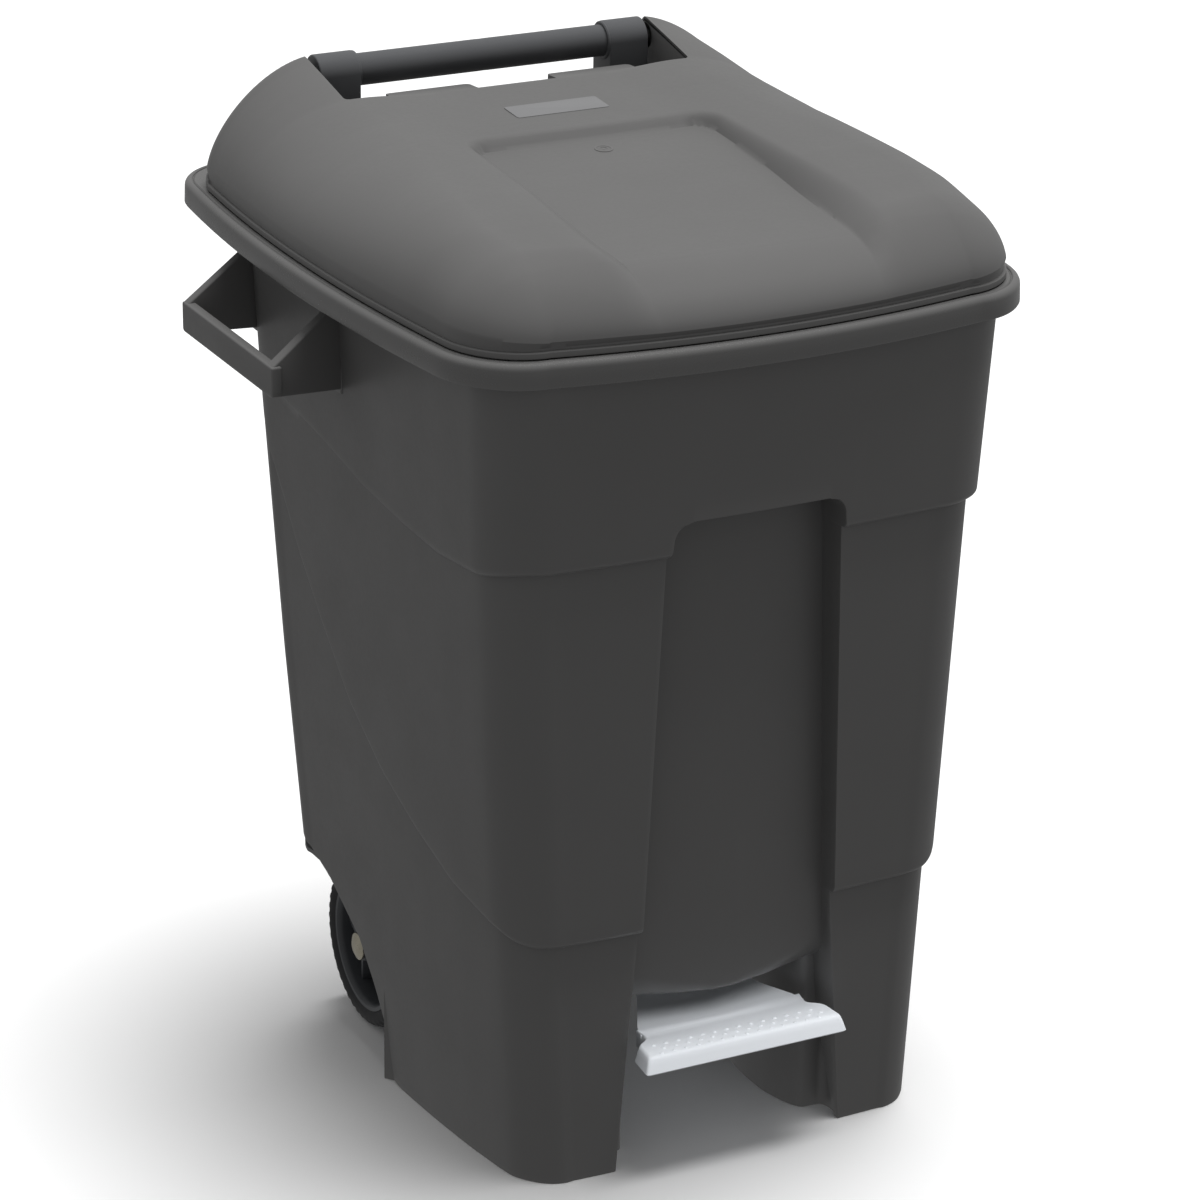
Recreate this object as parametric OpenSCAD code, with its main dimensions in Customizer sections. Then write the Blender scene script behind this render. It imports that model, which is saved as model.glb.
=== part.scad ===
// Pedal-operated wheelie bin on two wheels. Millimetres, +Z up, the pedal side faces -Y.
// The origin is on the ground, under the middle of the rim.

/* [Body] */
// Height of the rim's top face above the ground
rim_top = 655; // [640:1:670]
// Half width of the rim over its side edges
rim_half_w = 247; // [240:1:255]
// Half depth of the rim, front to back
rim_half_d = 281; // [275:1:285]
// Height of the upper step of the walls
upper_step = 492; // [470:1:510]
// Height of the lower step of the walls
lower_step = 195; // [180:1:210]
// Height of the underside of the tub floor
floor_z = 127; // [120:1:132]
// Thickness of the moulded walls
wall = 3.5; // [3:0.1:4]

/* [Lid] */
// Distance of the lid hinge axis behind the middle
hinge_y = 209; // [205:1:212]
// Height of the lid hinge axis
hinge_z = 735; // [732:1:738]
// Half width of the notch that the push bar lies in
notch_half_w = 144; // [143:0.5:147]
// Thickness of the lid's shell
lid_wall = 3; // [2.5:0.1:3.5]
// Opening angle of the lid
lid_open = 80; // [70:1:85]
// Radius at which the lift rod acts on the lid
crank_r = 46; // [44:1:48]

/* [Pedal] */
// Distance of the pedal pivot in front of the middle
pivot_front = 85; // [80:1:90]
// Height of the pedal pivot and of the rod's foot
pivot_z = 100; // [98:1:104]
// Width of the pedal's tread at its front edge
tread_w = 162; // [150:1:166]

/* [Wheels] */
// Radius of the wheels over the tread
wheel_r = 67; // [65:1:68]
// Distance of the outer face of a wheel from the middle
wheel_out = 167; // [165:0.5:168]
// Width of a wheel
wheel_w = 45; // [42:1:46]
// Distance of the axle behind the middle
axle_y = 72.5; // [70:0.5:75]
// Radius of the axle
axle_r = 6; // [5:0.5:7]

/* [Push bar and grips] */
// Radius of the push bar
bar_r = 12.5; // [11:0.5:13]
// Half length of the push bar between its shoes
bar_half = 106; // [104:1:108]
// Width of a shoe at each end of the push bar
shoe_w = 33.5; // [30:0.5:34]
// Distance of a side grip's outer face from the middle
grip_out = 275; // [270:1:280]

/* [Hidden] */
$fn = 64;
HULL_FN = 32;        // facets of the round children of a hull
RUN = 0.05;          // radial clearance of a running fit
SKIN = 0.4;          // thickness of the slabs that a hull joins
FAR = 1000;          // longer than any cut

BODY_GREY = [0.25, 0.25, 0.25];
LID_GREY = [0.30, 0.30, 0.30];
BLACK = [0.12, 0.12, 0.12];
PEDAL_GREY = [0.80, 0.81, 0.83];
HUB_GREY = [0.28, 0.30, 0.32];
STEEL = [0.70, 0.67, 0.60];

// Front and rear faces and half widths of the walls, at the height of each change of slope
front_top = -264;
front_upper = -254;
front_mid = -246;
front_lower = -240;
front_leg = -232;
front_foot = -230;
rear_top = 182;
rear_upper = 168;
rear_lower = 146;
half_top = 219;
half_upper = 213;
half_mid = 205;
half_lower = 195;
half_leg = 188;
half_foot = 181;
corner_r = 58;
front_bow = 5;
tub_top = rim_top - 10;

// Channels in the front and rear walls
channel_top_half = 68;
channel_foot_half = 96;
channel_y = -219;
channel_roof = 519;
recess_half = 92;
recess_y = 150;
well_in = 112;
well_roof = 142;
skin_in = 178;

// The linkage between pedal and lid: the rod stands on the chord of the lid crank's arc
rod_r = 3;
rod_y = hinge_y - crank_r * cos(lid_open / 2);
rod_top = hinge_z - crank_r * sin(lid_open / 2);
rod_x = 60;
crank_sag = crank_r * (1 - cos(lid_open / 2));
rod_slack = 1;
hook_slack = 2.3;       // the hook leaves the slot's middle line by up to 1.9 on its way

shoe_r = 15.5;
pin_r = 6;
lever_half = 27;
arm_half = 14;
arm_tunnel_half = arm_half + 3;
grip_peg_r = 4;
grip_pegs = [[-10, 600], [146, 600]];  // y and z of each
pedal_pin_r = 5;
guide_heights = [250, 560];

// ---------------------------------------------------------------- helpers

module both_sides() {
    for (side = [0, 1])
        mirror([side, 0, 0])
            children();
}

// A cylinder along X, from x0 to x1
module bar_x(x0, x1, r) {
    translate([x0, 0, 0])
        rotate([0, 90, 0])
            cylinder(h = x1 - x0, r = r);
}

module block(x0, x1, y0, y1, z0, z1) {
    translate([x0, y0, z0])
        cube([x1 - x0, y1 - y0, z1 - z0]);
}

// Profile given as [y, z] points, extruded along X from x0 to x1
module profile_x(x0, x1, points) {
    translate([x0, 0, 0])
        rotate([90, 0, 90])
            linear_extrude(x1 - x0)
                polygon(points);
}

// Thin slab with rounded corners and a bowed front, as a child of a hull
module slab(z, half, y0, y1, r = corner_r, bow = front_bow) {
    for (x = [-1, 1]) {
        for (y = [y0 + r, y1 - r])
            translate([x * (half - r), y, z])
                cylinder(h = SKIN, r = r, $fn = HULL_FN);
        translate([x * half / 3, y0 - bow * 0.85 + r, z])
            cylinder(h = SKIN, r = r, $fn = HULL_FN);
    }
    translate([0, y0 - bow + r, z])
        cylinder(h = SKIN, r = r, $fn = HULL_FN);
}

// Rounded plan made of exact arcs, used by the rim
module rim_plan(half, depth, r, bow) {
    intersection() {
        union() {
            square([2 * (half - r), 2 * depth], center = true);
            square([2 * half, 2 * (depth - r)], center = true);
            for (x = [-1, 1], y = [-1, 1])
                translate([x * (half - r), y * (depth - r)])
                    circle(r);
        }
        translate([0, bow_radius(half, bow) - depth])
            circle(bow_radius(half, bow), $fn = 256);
        translate([0, depth - bow_radius(half, bow)])
            circle(bow_radius(half, bow), $fn = 256);
    }
}

function bow_radius(half, bow) = (half * half + bow * bow) / (2 * bow);

// ---------------------------------------------------------------- body

module wall_bands(inset = 0) {
    hull() {
        slab(upper_step, half_upper - inset, front_upper + inset, rear_upper - inset);
        slab(tub_top, half_top - inset, front_top + inset, rear_top - inset);
    }
    hull() {
        slab(lower_step, half_lower - inset, front_lower + inset, rear_lower - inset);
        slab(upper_step, half_mid - inset, front_mid + inset, rear_upper - inset);
    }
}

module foot_band() {
    hull() {
        slab(0, half_foot, front_foot, rear_lower - 6);
        slab(lower_step, half_leg, front_leg, rear_lower);
    }
}

// Inside of the tub: one stretch for each stretch of wall, with a ledge as thick as the wall between
module tub_cavity() {
    hull() {
        slab(floor_z + wall, half_leg - wall - 2, front_leg + wall, rear_lower - wall);
        slab(lower_step + wall, half_leg - wall, front_leg + wall, rear_lower - wall);
    }
    hull() {
        slab(lower_step + wall, half_lower - wall, front_lower + wall, rear_lower - wall);
        slab(upper_step + wall, half_mid - wall, front_mid + wall, rear_upper - wall);
    }
    hull() {
        slab(upper_step + wall, half_upper - wall, front_upper + wall, rear_upper - wall);
        slab(rim_top + 1, half_top - wall, front_top + wall, rear_top - wall);
    }
}

// The channel that the pedal works in, as a prism whose sides spread towards the feet
module front_channel(grow) {
    translate([0, channel_y + grow, 0])
        rotate([90, 0, 0])
            linear_extrude(FAR)
                polygon([
                    [-channel_foot_half - grow, -1], [channel_foot_half + grow, -1],
                    [channel_top_half + grow, channel_roof + grow],
                    [-channel_top_half - grow, channel_roof + grow]]);
}

module rear_recess(grow) {
    block(-recess_half - grow, recess_half + grow, recess_y - grow, FAR, -1, tub_top - 30);
}

// Tunnel in the floor and the rear wall, in which the pedal's rear arm rises
module arm_tunnel(grow) {
    profile_x(-arm_tunnel_half - grow, arm_tunnel_half + grow, [
        [-14 - grow, -1], [-14 - grow, floor_z + 1 + grow], [-8, floor_z + 2 + grow],
        [rod_y + 40, 180 + grow], [rod_y + 40, -1]]);
}

module wheel_wells(grow) {
    both_sides()
        block(well_in - grow, skin_in + grow, -8 - grow, FAR, -1, well_roof + grow);
}

// The lower edge of the side walls rises over the wheels
module arch_cut() {
    both_sides()
        profile_x(skin_in - 1, FAR, [
            [-19, -1], [-16, 40], [3, 71], [28, 104], [65, 127], [79, 136], [122, 152],
            [300, 156], [300, -1]]);
}

// Space inside each front leg, open at the bottom
module leg_hollows() {
    both_sides()
        difference() {
            block(channel_foot_half + wall, half_foot - wall, front_foot + 14, -24, -1, floor_z - wall);
            translate([half_foot - corner_r, front_foot + corner_r, -1])
                difference() {
                    block(0, 80, -80, 0, 0, floor_z);
                    cylinder(h = FAR, r = corner_r - wall - 6, center = true);
                }
        }
}

module under_floor_space() {
    block(-channel_foot_half, channel_foot_half, channel_y, FAR, -1, floor_z);
    block(-skin_in, skin_in, 0, FAR, -1, floor_z);
}

module rim() {
    difference() {
        translate([0, 0, rim_top - 18])
            linear_extrude(18)
                rim_plan(rim_half_w, rim_half_d, 85, 12);
        translate([0, 0, rim_top - 19])
            linear_extrude(19 - 3.5)
                rim_plan(rim_half_w - 3, rim_half_d - 3, 82, 12);
        tub_opening();
    }
    // collar between the walls and the rim
    difference() {
        translate([0, 0, tub_top - 8])
            linear_extrude(rim_top - tub_top + 8)
                tub_mouth(-2);
        tub_opening();
    }
}

module tub_mouth(inset) {
    translate([0, (front_top + rear_top) / 2 - 2])
        rim_plan(half_top - inset, (rear_top - front_top) / 2 + 2 - inset, corner_r, 5);
}

module tub_opening() {
    translate([0, 0, tub_top - 20])
        linear_extrude(FAR)
            tub_mouth(wall + 1.2);
}

module posts() {
    both_sides() {
        block(bar_half + 6, bar_half + shoe_w - 6, hinge_y - 9, hinge_y + 9, rim_top - 4, hinge_z - 18);
        // buttress behind the post, down to the shelf
        profile_x(bar_half + 14, bar_half + 19,
            [[hinge_y + 8, rim_top - 3], [hinge_y + 50, rim_top - 3], [hinge_y + 8, rim_top + 32]]);
    }
}

// Ribs below the rear shelf that carry it on the rear wall
module shelf_ribs() {
    both_sides()
        for (x = [bar_half + 2, bar_half + 42])
            profile_x(x, x + 4, [
                [rear_upper + 3, tub_top - 90], [rear_top + 2, tub_top - 90],
                [rim_half_d - 30, rim_top - 18], [rim_half_d - 30, rim_top - 3],
                [rear_top - 2, rim_top - 3], [rear_top - 2, tub_top]]);
}

module axle_brackets() {
    both_sides()
        difference() {
            union() {
                block(102, 116, axle_y - 16, axle_y + 16, wheel_r, floor_z + 1);
                translate([0, axle_y, wheel_r])
                    bar_x(102, 116, 16);
                block(106, 110, -40, rear_lower - 10, wheel_r + 8, floor_z + 1);
            }
            translate([0, axle_y, wheel_r])
                bar_x(90, 130, axle_r + RUN);
        }
}

module pivot_lugs() {
    both_sides()
        difference() {
            union() {
                block(lever_half + 3, lever_half + 9, -pivot_front - 12, -pivot_front + 12, pivot_z, floor_z + 1);
                translate([0, -pivot_front, pivot_z])
                    bar_x(lever_half + 3, lever_half + 9, 12);
            }
            translate([0, -pivot_front, pivot_z])
                bar_x(0, 60, pedal_pin_r + RUN);
        }
}

module body() {
    color(BODY_GREY) {
        difference() {
            union() {
                difference() {
                    union() {
                        wall_bands();
                        foot_band();
                    }
                    front_channel(0);
                    rear_recess(0);
                    wheel_wells(0);
                    arm_tunnel(0);
                    arch_cut();
                    under_floor_space();
                    leg_hollows();
                    difference() {
                        tub_cavity();
                        front_channel(wall);
                        rear_recess(wall);
                        wheel_wells(wall);
                        arm_tunnel(wall);
                    }
                }
                rim();
                posts();
                shelf_ribs();
            }
            // holes in the shelf for the two uprights of the lift rod
            both_sides() {
                translate([rod_x, rod_y, rim_top - 50])
                    cylinder(h = 60, r = rod_r + 2);
                // holes for the pegs of the side grips
                for (p = grip_pegs)
                    translate([0, p[0], p[1]])
                        bar_x(200, half_top + 5, grip_peg_r + RUN);
            }
        }
        axle_brackets();
        pivot_lugs();
    }
}

// ---------------------------------------------------------------- side grips

module grip() {
    y0 = -22;
    y1 = 148;
    x_wall = 204;
    difference() {
        hull() {
            block(x_wall, x_wall + 4, y0 + 4, y1 + 14, 556, 634);
            block(grip_out - 14, grip_out, y0, y1, 568, 592);
        }
        // finger opening
        block(x_wall + 6, grip_out - 13, y0 + 20, y1 - 8, 500, 700);
        // the roots lie on the wall of the tub
        wall_bands(-RUN);
    }
    // pegs that are held in the wall
    for (p = grip_pegs)
        translate([0, p[0], p[1]])
            bar_x(x_wall - 6, x_wall + 14, grip_peg_r);
}

// ---------------------------------------------------------------- push bar

module push_bar() {
    color(BLACK)
        translate([0, hinge_y, hinge_z])
            difference() {
                bar_x(-bar_half - 8, bar_half + 8, bar_r);
                bar_x(-bar_half - 9, bar_half + 9, bar_r - 2);
            }
}

module bar_shoe() {
    color(BLACK)
        difference() {
            union() {
                translate([0, hinge_y, hinge_z])
                    bar_x(bar_half, bar_half + shoe_w, shoe_r);
                block(bar_half, bar_half + shoe_w, hinge_y - shoe_r, hinge_y + shoe_r, 688, hinge_z);
            }
            // socket for the post
            block(bar_half + 6 - 0.05, bar_half + shoe_w - 6 + 0.05, hinge_y - 9.05, hinge_y + 9.05,
                600, hinge_z - 18 + 0.05);
            translate([0, hinge_y, hinge_z]) {
                bar_x(bar_half - 1, bar_half + 8, bar_r + RUN);
                bar_x(bar_half + 12, bar_half + shoe_w + 1, pin_r + RUN);
            }
        }
}

module hinge_pin() {
    color(STEEL)
        translate([0, hinge_y, hinge_z]) {
            bar_x(bar_half + 12.2, notch_half_w + lid_wall + 3, pin_r);
            bar_x(notch_half_w + lid_wall + 1, notch_half_w + lid_wall + 3, pin_r + 3);
        }
}

// ---------------------------------------------------------------- lid

lid_base = rim_top + 1.5;
lid_half = 237;
lid_front = -272;
ear_back = 240;

module lid_form(inset) {
    hull() {
        slab(lid_base - (inset > 0 ? 1 : 0), lid_half - inset, lid_front + inset, ear_back - inset, 78);
        slab(lid_base + 14, lid_half - 2 - inset, lid_front + 2 + inset, ear_back - inset, 78);
        slab(705 - inset, 222 - inset, -248 + inset, ear_back - inset, 70);
        slab(722 - inset, 200 - inset, -180 + inset, ear_back - 4 - inset, 60);
        slab(752 - inset, 172 - inset, 60 + inset, ear_back - 14 - inset, 30, 0);
    }
}

// Everything above the lid's top line, which climbs to the tips of the ears at the rear
module lid_top_cut(drop) {
    profile_x(-FAR / 2, FAR / 2, [
        [300, 752.5 - drop], [207, 752 - drop], [136, 732 - drop], [20, 725.5 - drop],
        [-100, 720.5 - drop], [-160, 715 - drop], [-200, 708 - drop], [-200, 900], [300, 900]]);
}

module lid_recess(drop) {
    profile_x(-96 - drop, 96 + drop, [
        [30 + drop, 736], [18 + drop, 718 - drop], [-140, 703.5 - drop], [-246, 688 - drop], [-300, 678 - drop],
        [-300, 800], [30 + drop, 800]]);
}

// The rear of each ear is rounded about the hinge, so that it turns clear of the rim
module ear_trim() {
    difference() {
        block(-FAR / 2, FAR / 2, hinge_y, FAR, 600, 900);
        translate([0, hinge_y, hinge_z])
            bar_x(-FAR / 2, FAR / 2, 32);
        block(-FAR / 2, FAR / 2, hinge_y - 1, hinge_y + 32, rim_top + 9, hinge_z);
    }
}

module lid_tabs() {
    both_sides() {
        difference() {
            block(33, 103, 128, 159, 706, 729);
            block(35.5, 100.5, 120, 156.5, 700, 726);
        }
        // slotted lug that takes the hook of the lift rod
        difference() {
            union() {
                profile_x(66, 71, [[138, 727], [157, 727], [rod_y + 9, rod_top + 8], [rod_y, rod_top - 10],
                    [138, 706]]);
                translate([0, rod_y, rod_top])
                    bar_x(66, 71, 10);
                translate([0, rod_y + crank_sag * cos(lid_open / 2), rod_top + crank_sag * sin(lid_open / 2)])
                    bar_x(66, 71, 9);
            }
            crank_slot();
        }
    }
}

module crank_slot() {
    translate([0, rod_y, rod_top])
        rotate([lid_open / 2, 0, 0]) {
            bar_x(50, 90, rod_r + hook_slack);
            translate([0, crank_sag, 0])
                bar_x(50, 90, rod_r + hook_slack);
            block(50, 90, 0, crank_sag, -rod_r - hook_slack, rod_r + hook_slack);
        }
}

module lid() {
    color(LID_GREY) {
        difference() {
            lid_form(0);
            lid_top_cut(0);
            lid_recess(0);
            ear_trim();
            block(-notch_half_w, notch_half_w, 139, FAR, 600, 900);
            label_pocket();
            difference() {
                lid_form(lid_wall);
                lid_top_cut(lid_wall);
                lid_recess(lid_wall);
                // rear wall of the notch and the inner walls of the ears
                block(-notch_half_w - lid_wall, notch_half_w + lid_wall, 136, FAR, 600, 900);
            }
            both_sides()
                translate([0, hinge_y, hinge_z])
                    bar_x(notch_half_w - 1, notch_half_w + lid_wall + 0.4, pin_r + RUN);
        }
        lid_tabs();
    }
}

label_y = 74.5;
label_w = 76;
label_d = 25;
label_z = 728;
label_tilt = atan(6.5 / 116);

module label_pocket() {
    translate([0, label_y, label_z + 0.5])
        rotate([label_tilt, 0, 0])
            cube([label_w + 0.6, label_d + 0.6, 2.8], center = true);
}

module label_plate() {
    color([0.5, 0.5, 0.5])
        translate([0, label_y, label_z])
            rotate([label_tilt, 0, 0])
                cube([label_w, label_d, 1.4], center = true);
}

// ---------------------------------------------------------------- pedal and linkage

module tread_plan() {
    polygon([
        [-tread_w / 2, -256], [tread_w / 2, -256], [tread_w / 2 - 3, -231], [63, -214],
        [-63, -214], [-tread_w / 2 + 3, -231]]);
}

module pedal() {
    color(PEDAL_GREY)
        difference() {
            union() {
                // tread with its down-turned edge
                difference() {
                    translate([0, 0, 90])
                        linear_extrude(13)
                            tread_plan();
                    block(-tread_w / 2 + 6, tread_w / 2 - 6, -253.5, -180, 80, 100);
                }
                // neck rising under the floor
                profile_x(-63, 63, [[-232, 99], [-214, 99], [-150, 106], [-150, 109], [-214, 103], [-232, 103]]);
                for (x = [-60, -20, 17, 57])
                    profile_x(x, x + 3, [[-250, 92], [-214, 92], [-150, 97], [-150, 107], [-214, 101], [-250, 101]]);
                // arm through the pivot to the rod
                block(-lever_half, lever_half, -152, -pivot_front + 10, 93, 109);
                translate([0, -pivot_front, pivot_z])
                    bar_x(-lever_half, lever_half, 11);
                block(-arm_half, arm_half, -pivot_front, rod_y + 16, 92, 108);
            }
            translate([0, -pivot_front, pivot_z])
                bar_x(-FAR / 2, FAR / 2, pedal_pin_r + RUN);
            // lightening pocket under the rear arm
            block(-10, 10, -pivot_front + 20, rod_y - 20, 80, 104);
            block(-lever_half + 4, lever_half - 4, -148, -pivot_front - 14, 80, 105);
            // slot in which the foot of the lift rod slides
            translate([0, rod_y, pivot_z]) {
                bar_x(-20, 20, rod_r + rod_slack);
                translate([0, 8, 0])
                    bar_x(-20, 20, rod_r + rod_slack);
                block(-20, 20, 0, 8, -rod_r - rod_slack, rod_r + rod_slack);
            }
        }
}

module pedal_pin() {
    color(STEEL)
        translate([0, -pivot_front, pivot_z])
            bar_x(-lever_half - 13, lever_half + 13, pedal_pin_r);
}

module pedal_pin_clips() {
    color(STEEL)
        both_sides()
            translate([0, -pivot_front, pivot_z])
                difference() {
                    bar_x(lever_half + 9.2, lever_half + 11, 9);
                    bar_x(lever_half + 9, lever_half + 12, pedal_pin_r);
                }
}

module lift_rod() {
    color(STEEL) {
        translate([0, rod_y, pivot_z])
            bar_x(-rod_x, rod_x, rod_r);
        both_sides() {
            translate([rod_x, rod_y, pivot_z])
                cylinder(h = rod_top - pivot_z, r = rod_r);
            for (z = [pivot_z, rod_top])
                translate([rod_x, rod_y, z])
                    sphere(rod_r);
            translate([0, rod_y, rod_top])
                bar_x(rod_x, 79, rod_r);
        }
    }
}

module rod_end_clips() {
    color(STEEL)
        both_sides()
            translate([0, rod_y, rod_top])
                difference() {
                    bar_x(73, 75, 6.5);
                    bar_x(72, 76, rod_r);
                }
}

module rod_guides() {
    color(BLACK)
        both_sides()
            for (z = guide_heights)
                difference() {
                    block(rod_x - 9, rod_x + 9, recess_y, rod_y + 8, z, z + 18);
                    translate([rod_x, rod_y, z - 1])
                        cylinder(h = 20, r = rod_r + 0.5);
                }
}

// ---------------------------------------------------------------- wheels

module at_axle() {
    translate([0, axle_y, wheel_r])
        children();
}

module axle() {
    color(STEEL)
        at_axle()
            bar_x(-wheel_out - 3, wheel_out + 3, axle_r);
}

module axle_cap() {
    color(STEEL)
        at_axle()
            difference() {
                union() {
                    bar_x(wheel_out + 1, wheel_out + 3, 11);
                    bar_x(wheel_out + 3, wheel_out + 5, 8.5);
                }
                bar_x(wheel_out, wheel_out + 3, axle_r);
            }
}

wheel_in = wheel_out - wheel_w;
barrel_r = 49;

module wheel_washers() {
    color(STEEL)
        at_axle()
            both_sides()
                difference() {
                    bar_x(117, 119, 11);
                    bar_x(116, 120, axle_r);
                }
}

module wheel_hub() {
    color(HUB_GREY)
        at_axle()
            difference() {
                union() {
                    difference() {
                        bar_x(wheel_in + 3, wheel_out - 3, barrel_r + 4);
                        bar_x(wheel_in + 2, wheel_out - 2, barrel_r);
                    }
                    bar_x(wheel_in + 14, wheel_in + 19, barrel_r + 1);
                    bar_x(wheel_in - 2.5, wheel_out, 14);
                    for (a = [0 : 60 : 300])
                        rotate([a, 0, 0])
                            block(wheel_in + 4, wheel_out - 8, -2, 2, 12, barrel_r + 1);
                }
                bar_x(0, FAR, axle_r + RUN);
            }
}

module tyre() {
    color(BLACK)
        at_axle()
            difference() {
                rotate([0, 90, 0])
                    rotate_extrude($fn = 96)
                        polygon([
                            [barrel_r + 4, wheel_in + 1], [wheel_r - 5, wheel_in], [wheel_r, wheel_in + 6],
                            [wheel_r, wheel_out - 6], [wheel_r - 5, wheel_out], [barrel_r + 4, wheel_out - 1]]);
                bar_x(0, FAR, barrel_r + 4);
            }
}

// ---------------------------------------------------------------- nodes

body();
color(BODY_GREY) mirror([1, 0, 0]) grip();  // grip_left
color(BODY_GREY) grip();  // grip_right
push_bar();
mirror([1, 0, 0]) bar_shoe();  // bar_shoe_left
bar_shoe();  // bar_shoe_right
mirror([1, 0, 0]) hinge_pin();  // hinge_pin_left
hinge_pin();  // hinge_pin_right
lid();
label_plate();
pedal();
pedal_pin();
pedal_pin_clips();
lift_rod();
rod_guides();
rod_end_clips();
axle();
mirror([1, 0, 0]) axle_cap();  // axle_cap_left
axle_cap();  // axle_cap_right
wheel_washers();
mirror([1, 0, 0]) wheel_hub();  // wheel_hub_left
wheel_hub();  // wheel_hub_right
mirror([1, 0, 0]) tyre();  // tyre_left
tyre();  // tyre_right
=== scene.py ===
"""Pedal wheelie bin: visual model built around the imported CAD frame."""
import math
import bmesh
import bpy
import numpy as np
from mathutils import Matrix, Vector


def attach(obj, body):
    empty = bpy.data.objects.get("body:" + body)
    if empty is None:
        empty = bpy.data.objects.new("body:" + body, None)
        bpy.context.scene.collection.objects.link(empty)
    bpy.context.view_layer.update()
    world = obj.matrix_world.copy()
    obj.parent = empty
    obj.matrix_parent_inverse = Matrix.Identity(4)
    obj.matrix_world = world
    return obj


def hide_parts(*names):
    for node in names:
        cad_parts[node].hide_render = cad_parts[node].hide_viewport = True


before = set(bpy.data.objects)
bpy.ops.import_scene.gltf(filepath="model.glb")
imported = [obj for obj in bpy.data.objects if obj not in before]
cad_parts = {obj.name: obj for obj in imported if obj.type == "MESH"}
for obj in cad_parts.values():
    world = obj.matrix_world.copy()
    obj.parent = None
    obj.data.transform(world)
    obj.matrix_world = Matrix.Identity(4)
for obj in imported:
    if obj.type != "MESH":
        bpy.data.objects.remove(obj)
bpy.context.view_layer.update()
MM = 0.001

# ------------------------------------------------------------------ driving sizes, in millimetres

FLOOR_Z = 127.0          # underside of the tub floor
TUB_TOP = 645.0          # where the walls meet the rim
RIM_TOP = 655.0
RIM_LOW = 637.0          # lower edge of the rim's skirt
WALL = 3.3
CHANNEL_TOP = 519.0
CHANNEL_Y = -219.0
LIP = 7.0                # height of the rounded lip at each step of the wall
HINGE = (209.0, 735.0)   # y and z of the lid's hinge
NOTCH = 145.0            # half width of the notch in the lid
NOTCH_Y = 136.0
AXLE = (72.5, 67.0)      # y and z of the axle
WHEEL_OUT = 167.0
WHEEL_W = 45.0
BAR_HALF = 106.0
SHOE_W = 33.5
ROD_X = 60.0
TUNNEL_HALF = 17.0       # half width of the tunnel in which the pedal's rear arm rises
TUNNEL_Z = 165.0         # its height in the rear wall
LINK_R = 46.0            # from the lid's hinge to the hooks of the lift rod
LINK_A = math.radians(40)                        # how far below level the hooks lie with the lid shut
ROD_Y = HINGE[0] - LINK_R * math.cos(LINK_A)
ROD_TOP = HINGE[1] - LINK_R * math.sin(LINK_A)
PEDAL_PIVOT = (-85.0, 100.0)                     # y and z
PIN_BORE = 5.2           # radius of the hole for the pedal's pin
AXLE_BORE = 6.1          # and of the holes for the axle


def span(side, near, far):
    """The lower and upper x of a stretch that starts near the middle, on the side given by 1 or -1."""
    return sorted((side * near, side * far))


def box(a0, b0, a1, b1):
    """The four corners of a rectangle."""
    return [(a0, b0), (a1, b0), (a1, b1), (a0, b1)]


def line(x, *knots):
    """Straight interpolation through (x, value) knots."""
    return np.interp(x, [k[0] for k in knots], [k[1] for k in knots])


def smooth(x, low, high):
    """0 below low, 1 above high, with soft ends."""
    t = np.clip((np.asarray(x, float) - low) / (high - low), 0, 1)
    return t * t * (3 - 2 * t)


# ------------------------------------------------------------------ mesh helpers

def mesh_piece(name, verts, faces, sharp=40):
    """A new object from vertices in millimetres, with a crisp edge where faces meet at over sharp degrees."""
    mesh = bpy.data.meshes.new(name)
    mesh.from_pydata([tuple(float(c) * MM for c in v) for v in verts], [], [tuple(f) for f in faces])
    obj = bpy.data.objects.new(name, mesh)
    bpy.context.scene.collection.objects.link(obj)
    tidy(obj, sharp)
    return obj


def tidy(obj, sharp=40):
    """Welds, dissolves degenerate edges and faces, makes normals point outwards and marks the crisp edges."""
    bm = bmesh.new()
    bm.from_mesh(obj.data)
    bmesh.ops.remove_doubles(bm, verts=bm.verts, dist=0.02 * MM)
    bmesh.ops.dissolve_degenerate(bm, edges=bm.edges, dist=0.01 * MM)
    bmesh.ops.recalc_face_normals(bm, faces=bm.faces)
    for face in bm.faces:
        face.smooth = True
    limit = math.radians(sharp)
    for edge in bm.edges:
        edge.smooth = not (len(edge.link_faces) == 2 and edge.calc_face_angle(0) > limit)
    bm.to_mesh(obj.data)
    bm.free()


def join(name, objs, sharp=40):
    """Joins objects into one and names it."""
    bm = bmesh.new()
    for obj in objs:
        bm.from_mesh(obj.data)
        bpy.data.objects.remove(obj)
    mesh = bpy.data.meshes.new(name)
    bm.to_mesh(mesh)
    bm.free()
    made = bpy.data.objects.new(name, mesh)
    bpy.context.scene.collection.objects.link(made)
    tidy(made, sharp)
    return made


def grid_faces(rows, cols, close_cols=False, close_rows=False, flip=False):
    """Quads of a rows x cols grid of vertices."""
    faces = []
    for r in range(rows if close_rows else rows - 1):
        s = (r + 1) % rows
        for c in range(cols if close_cols else cols - 1):
            d = (c + 1) % cols
            quad = (r * cols + c, r * cols + d, s * cols + d, s * cols + c)
            faces.append(quad[::-1] if flip else quad)
    return faces


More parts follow.
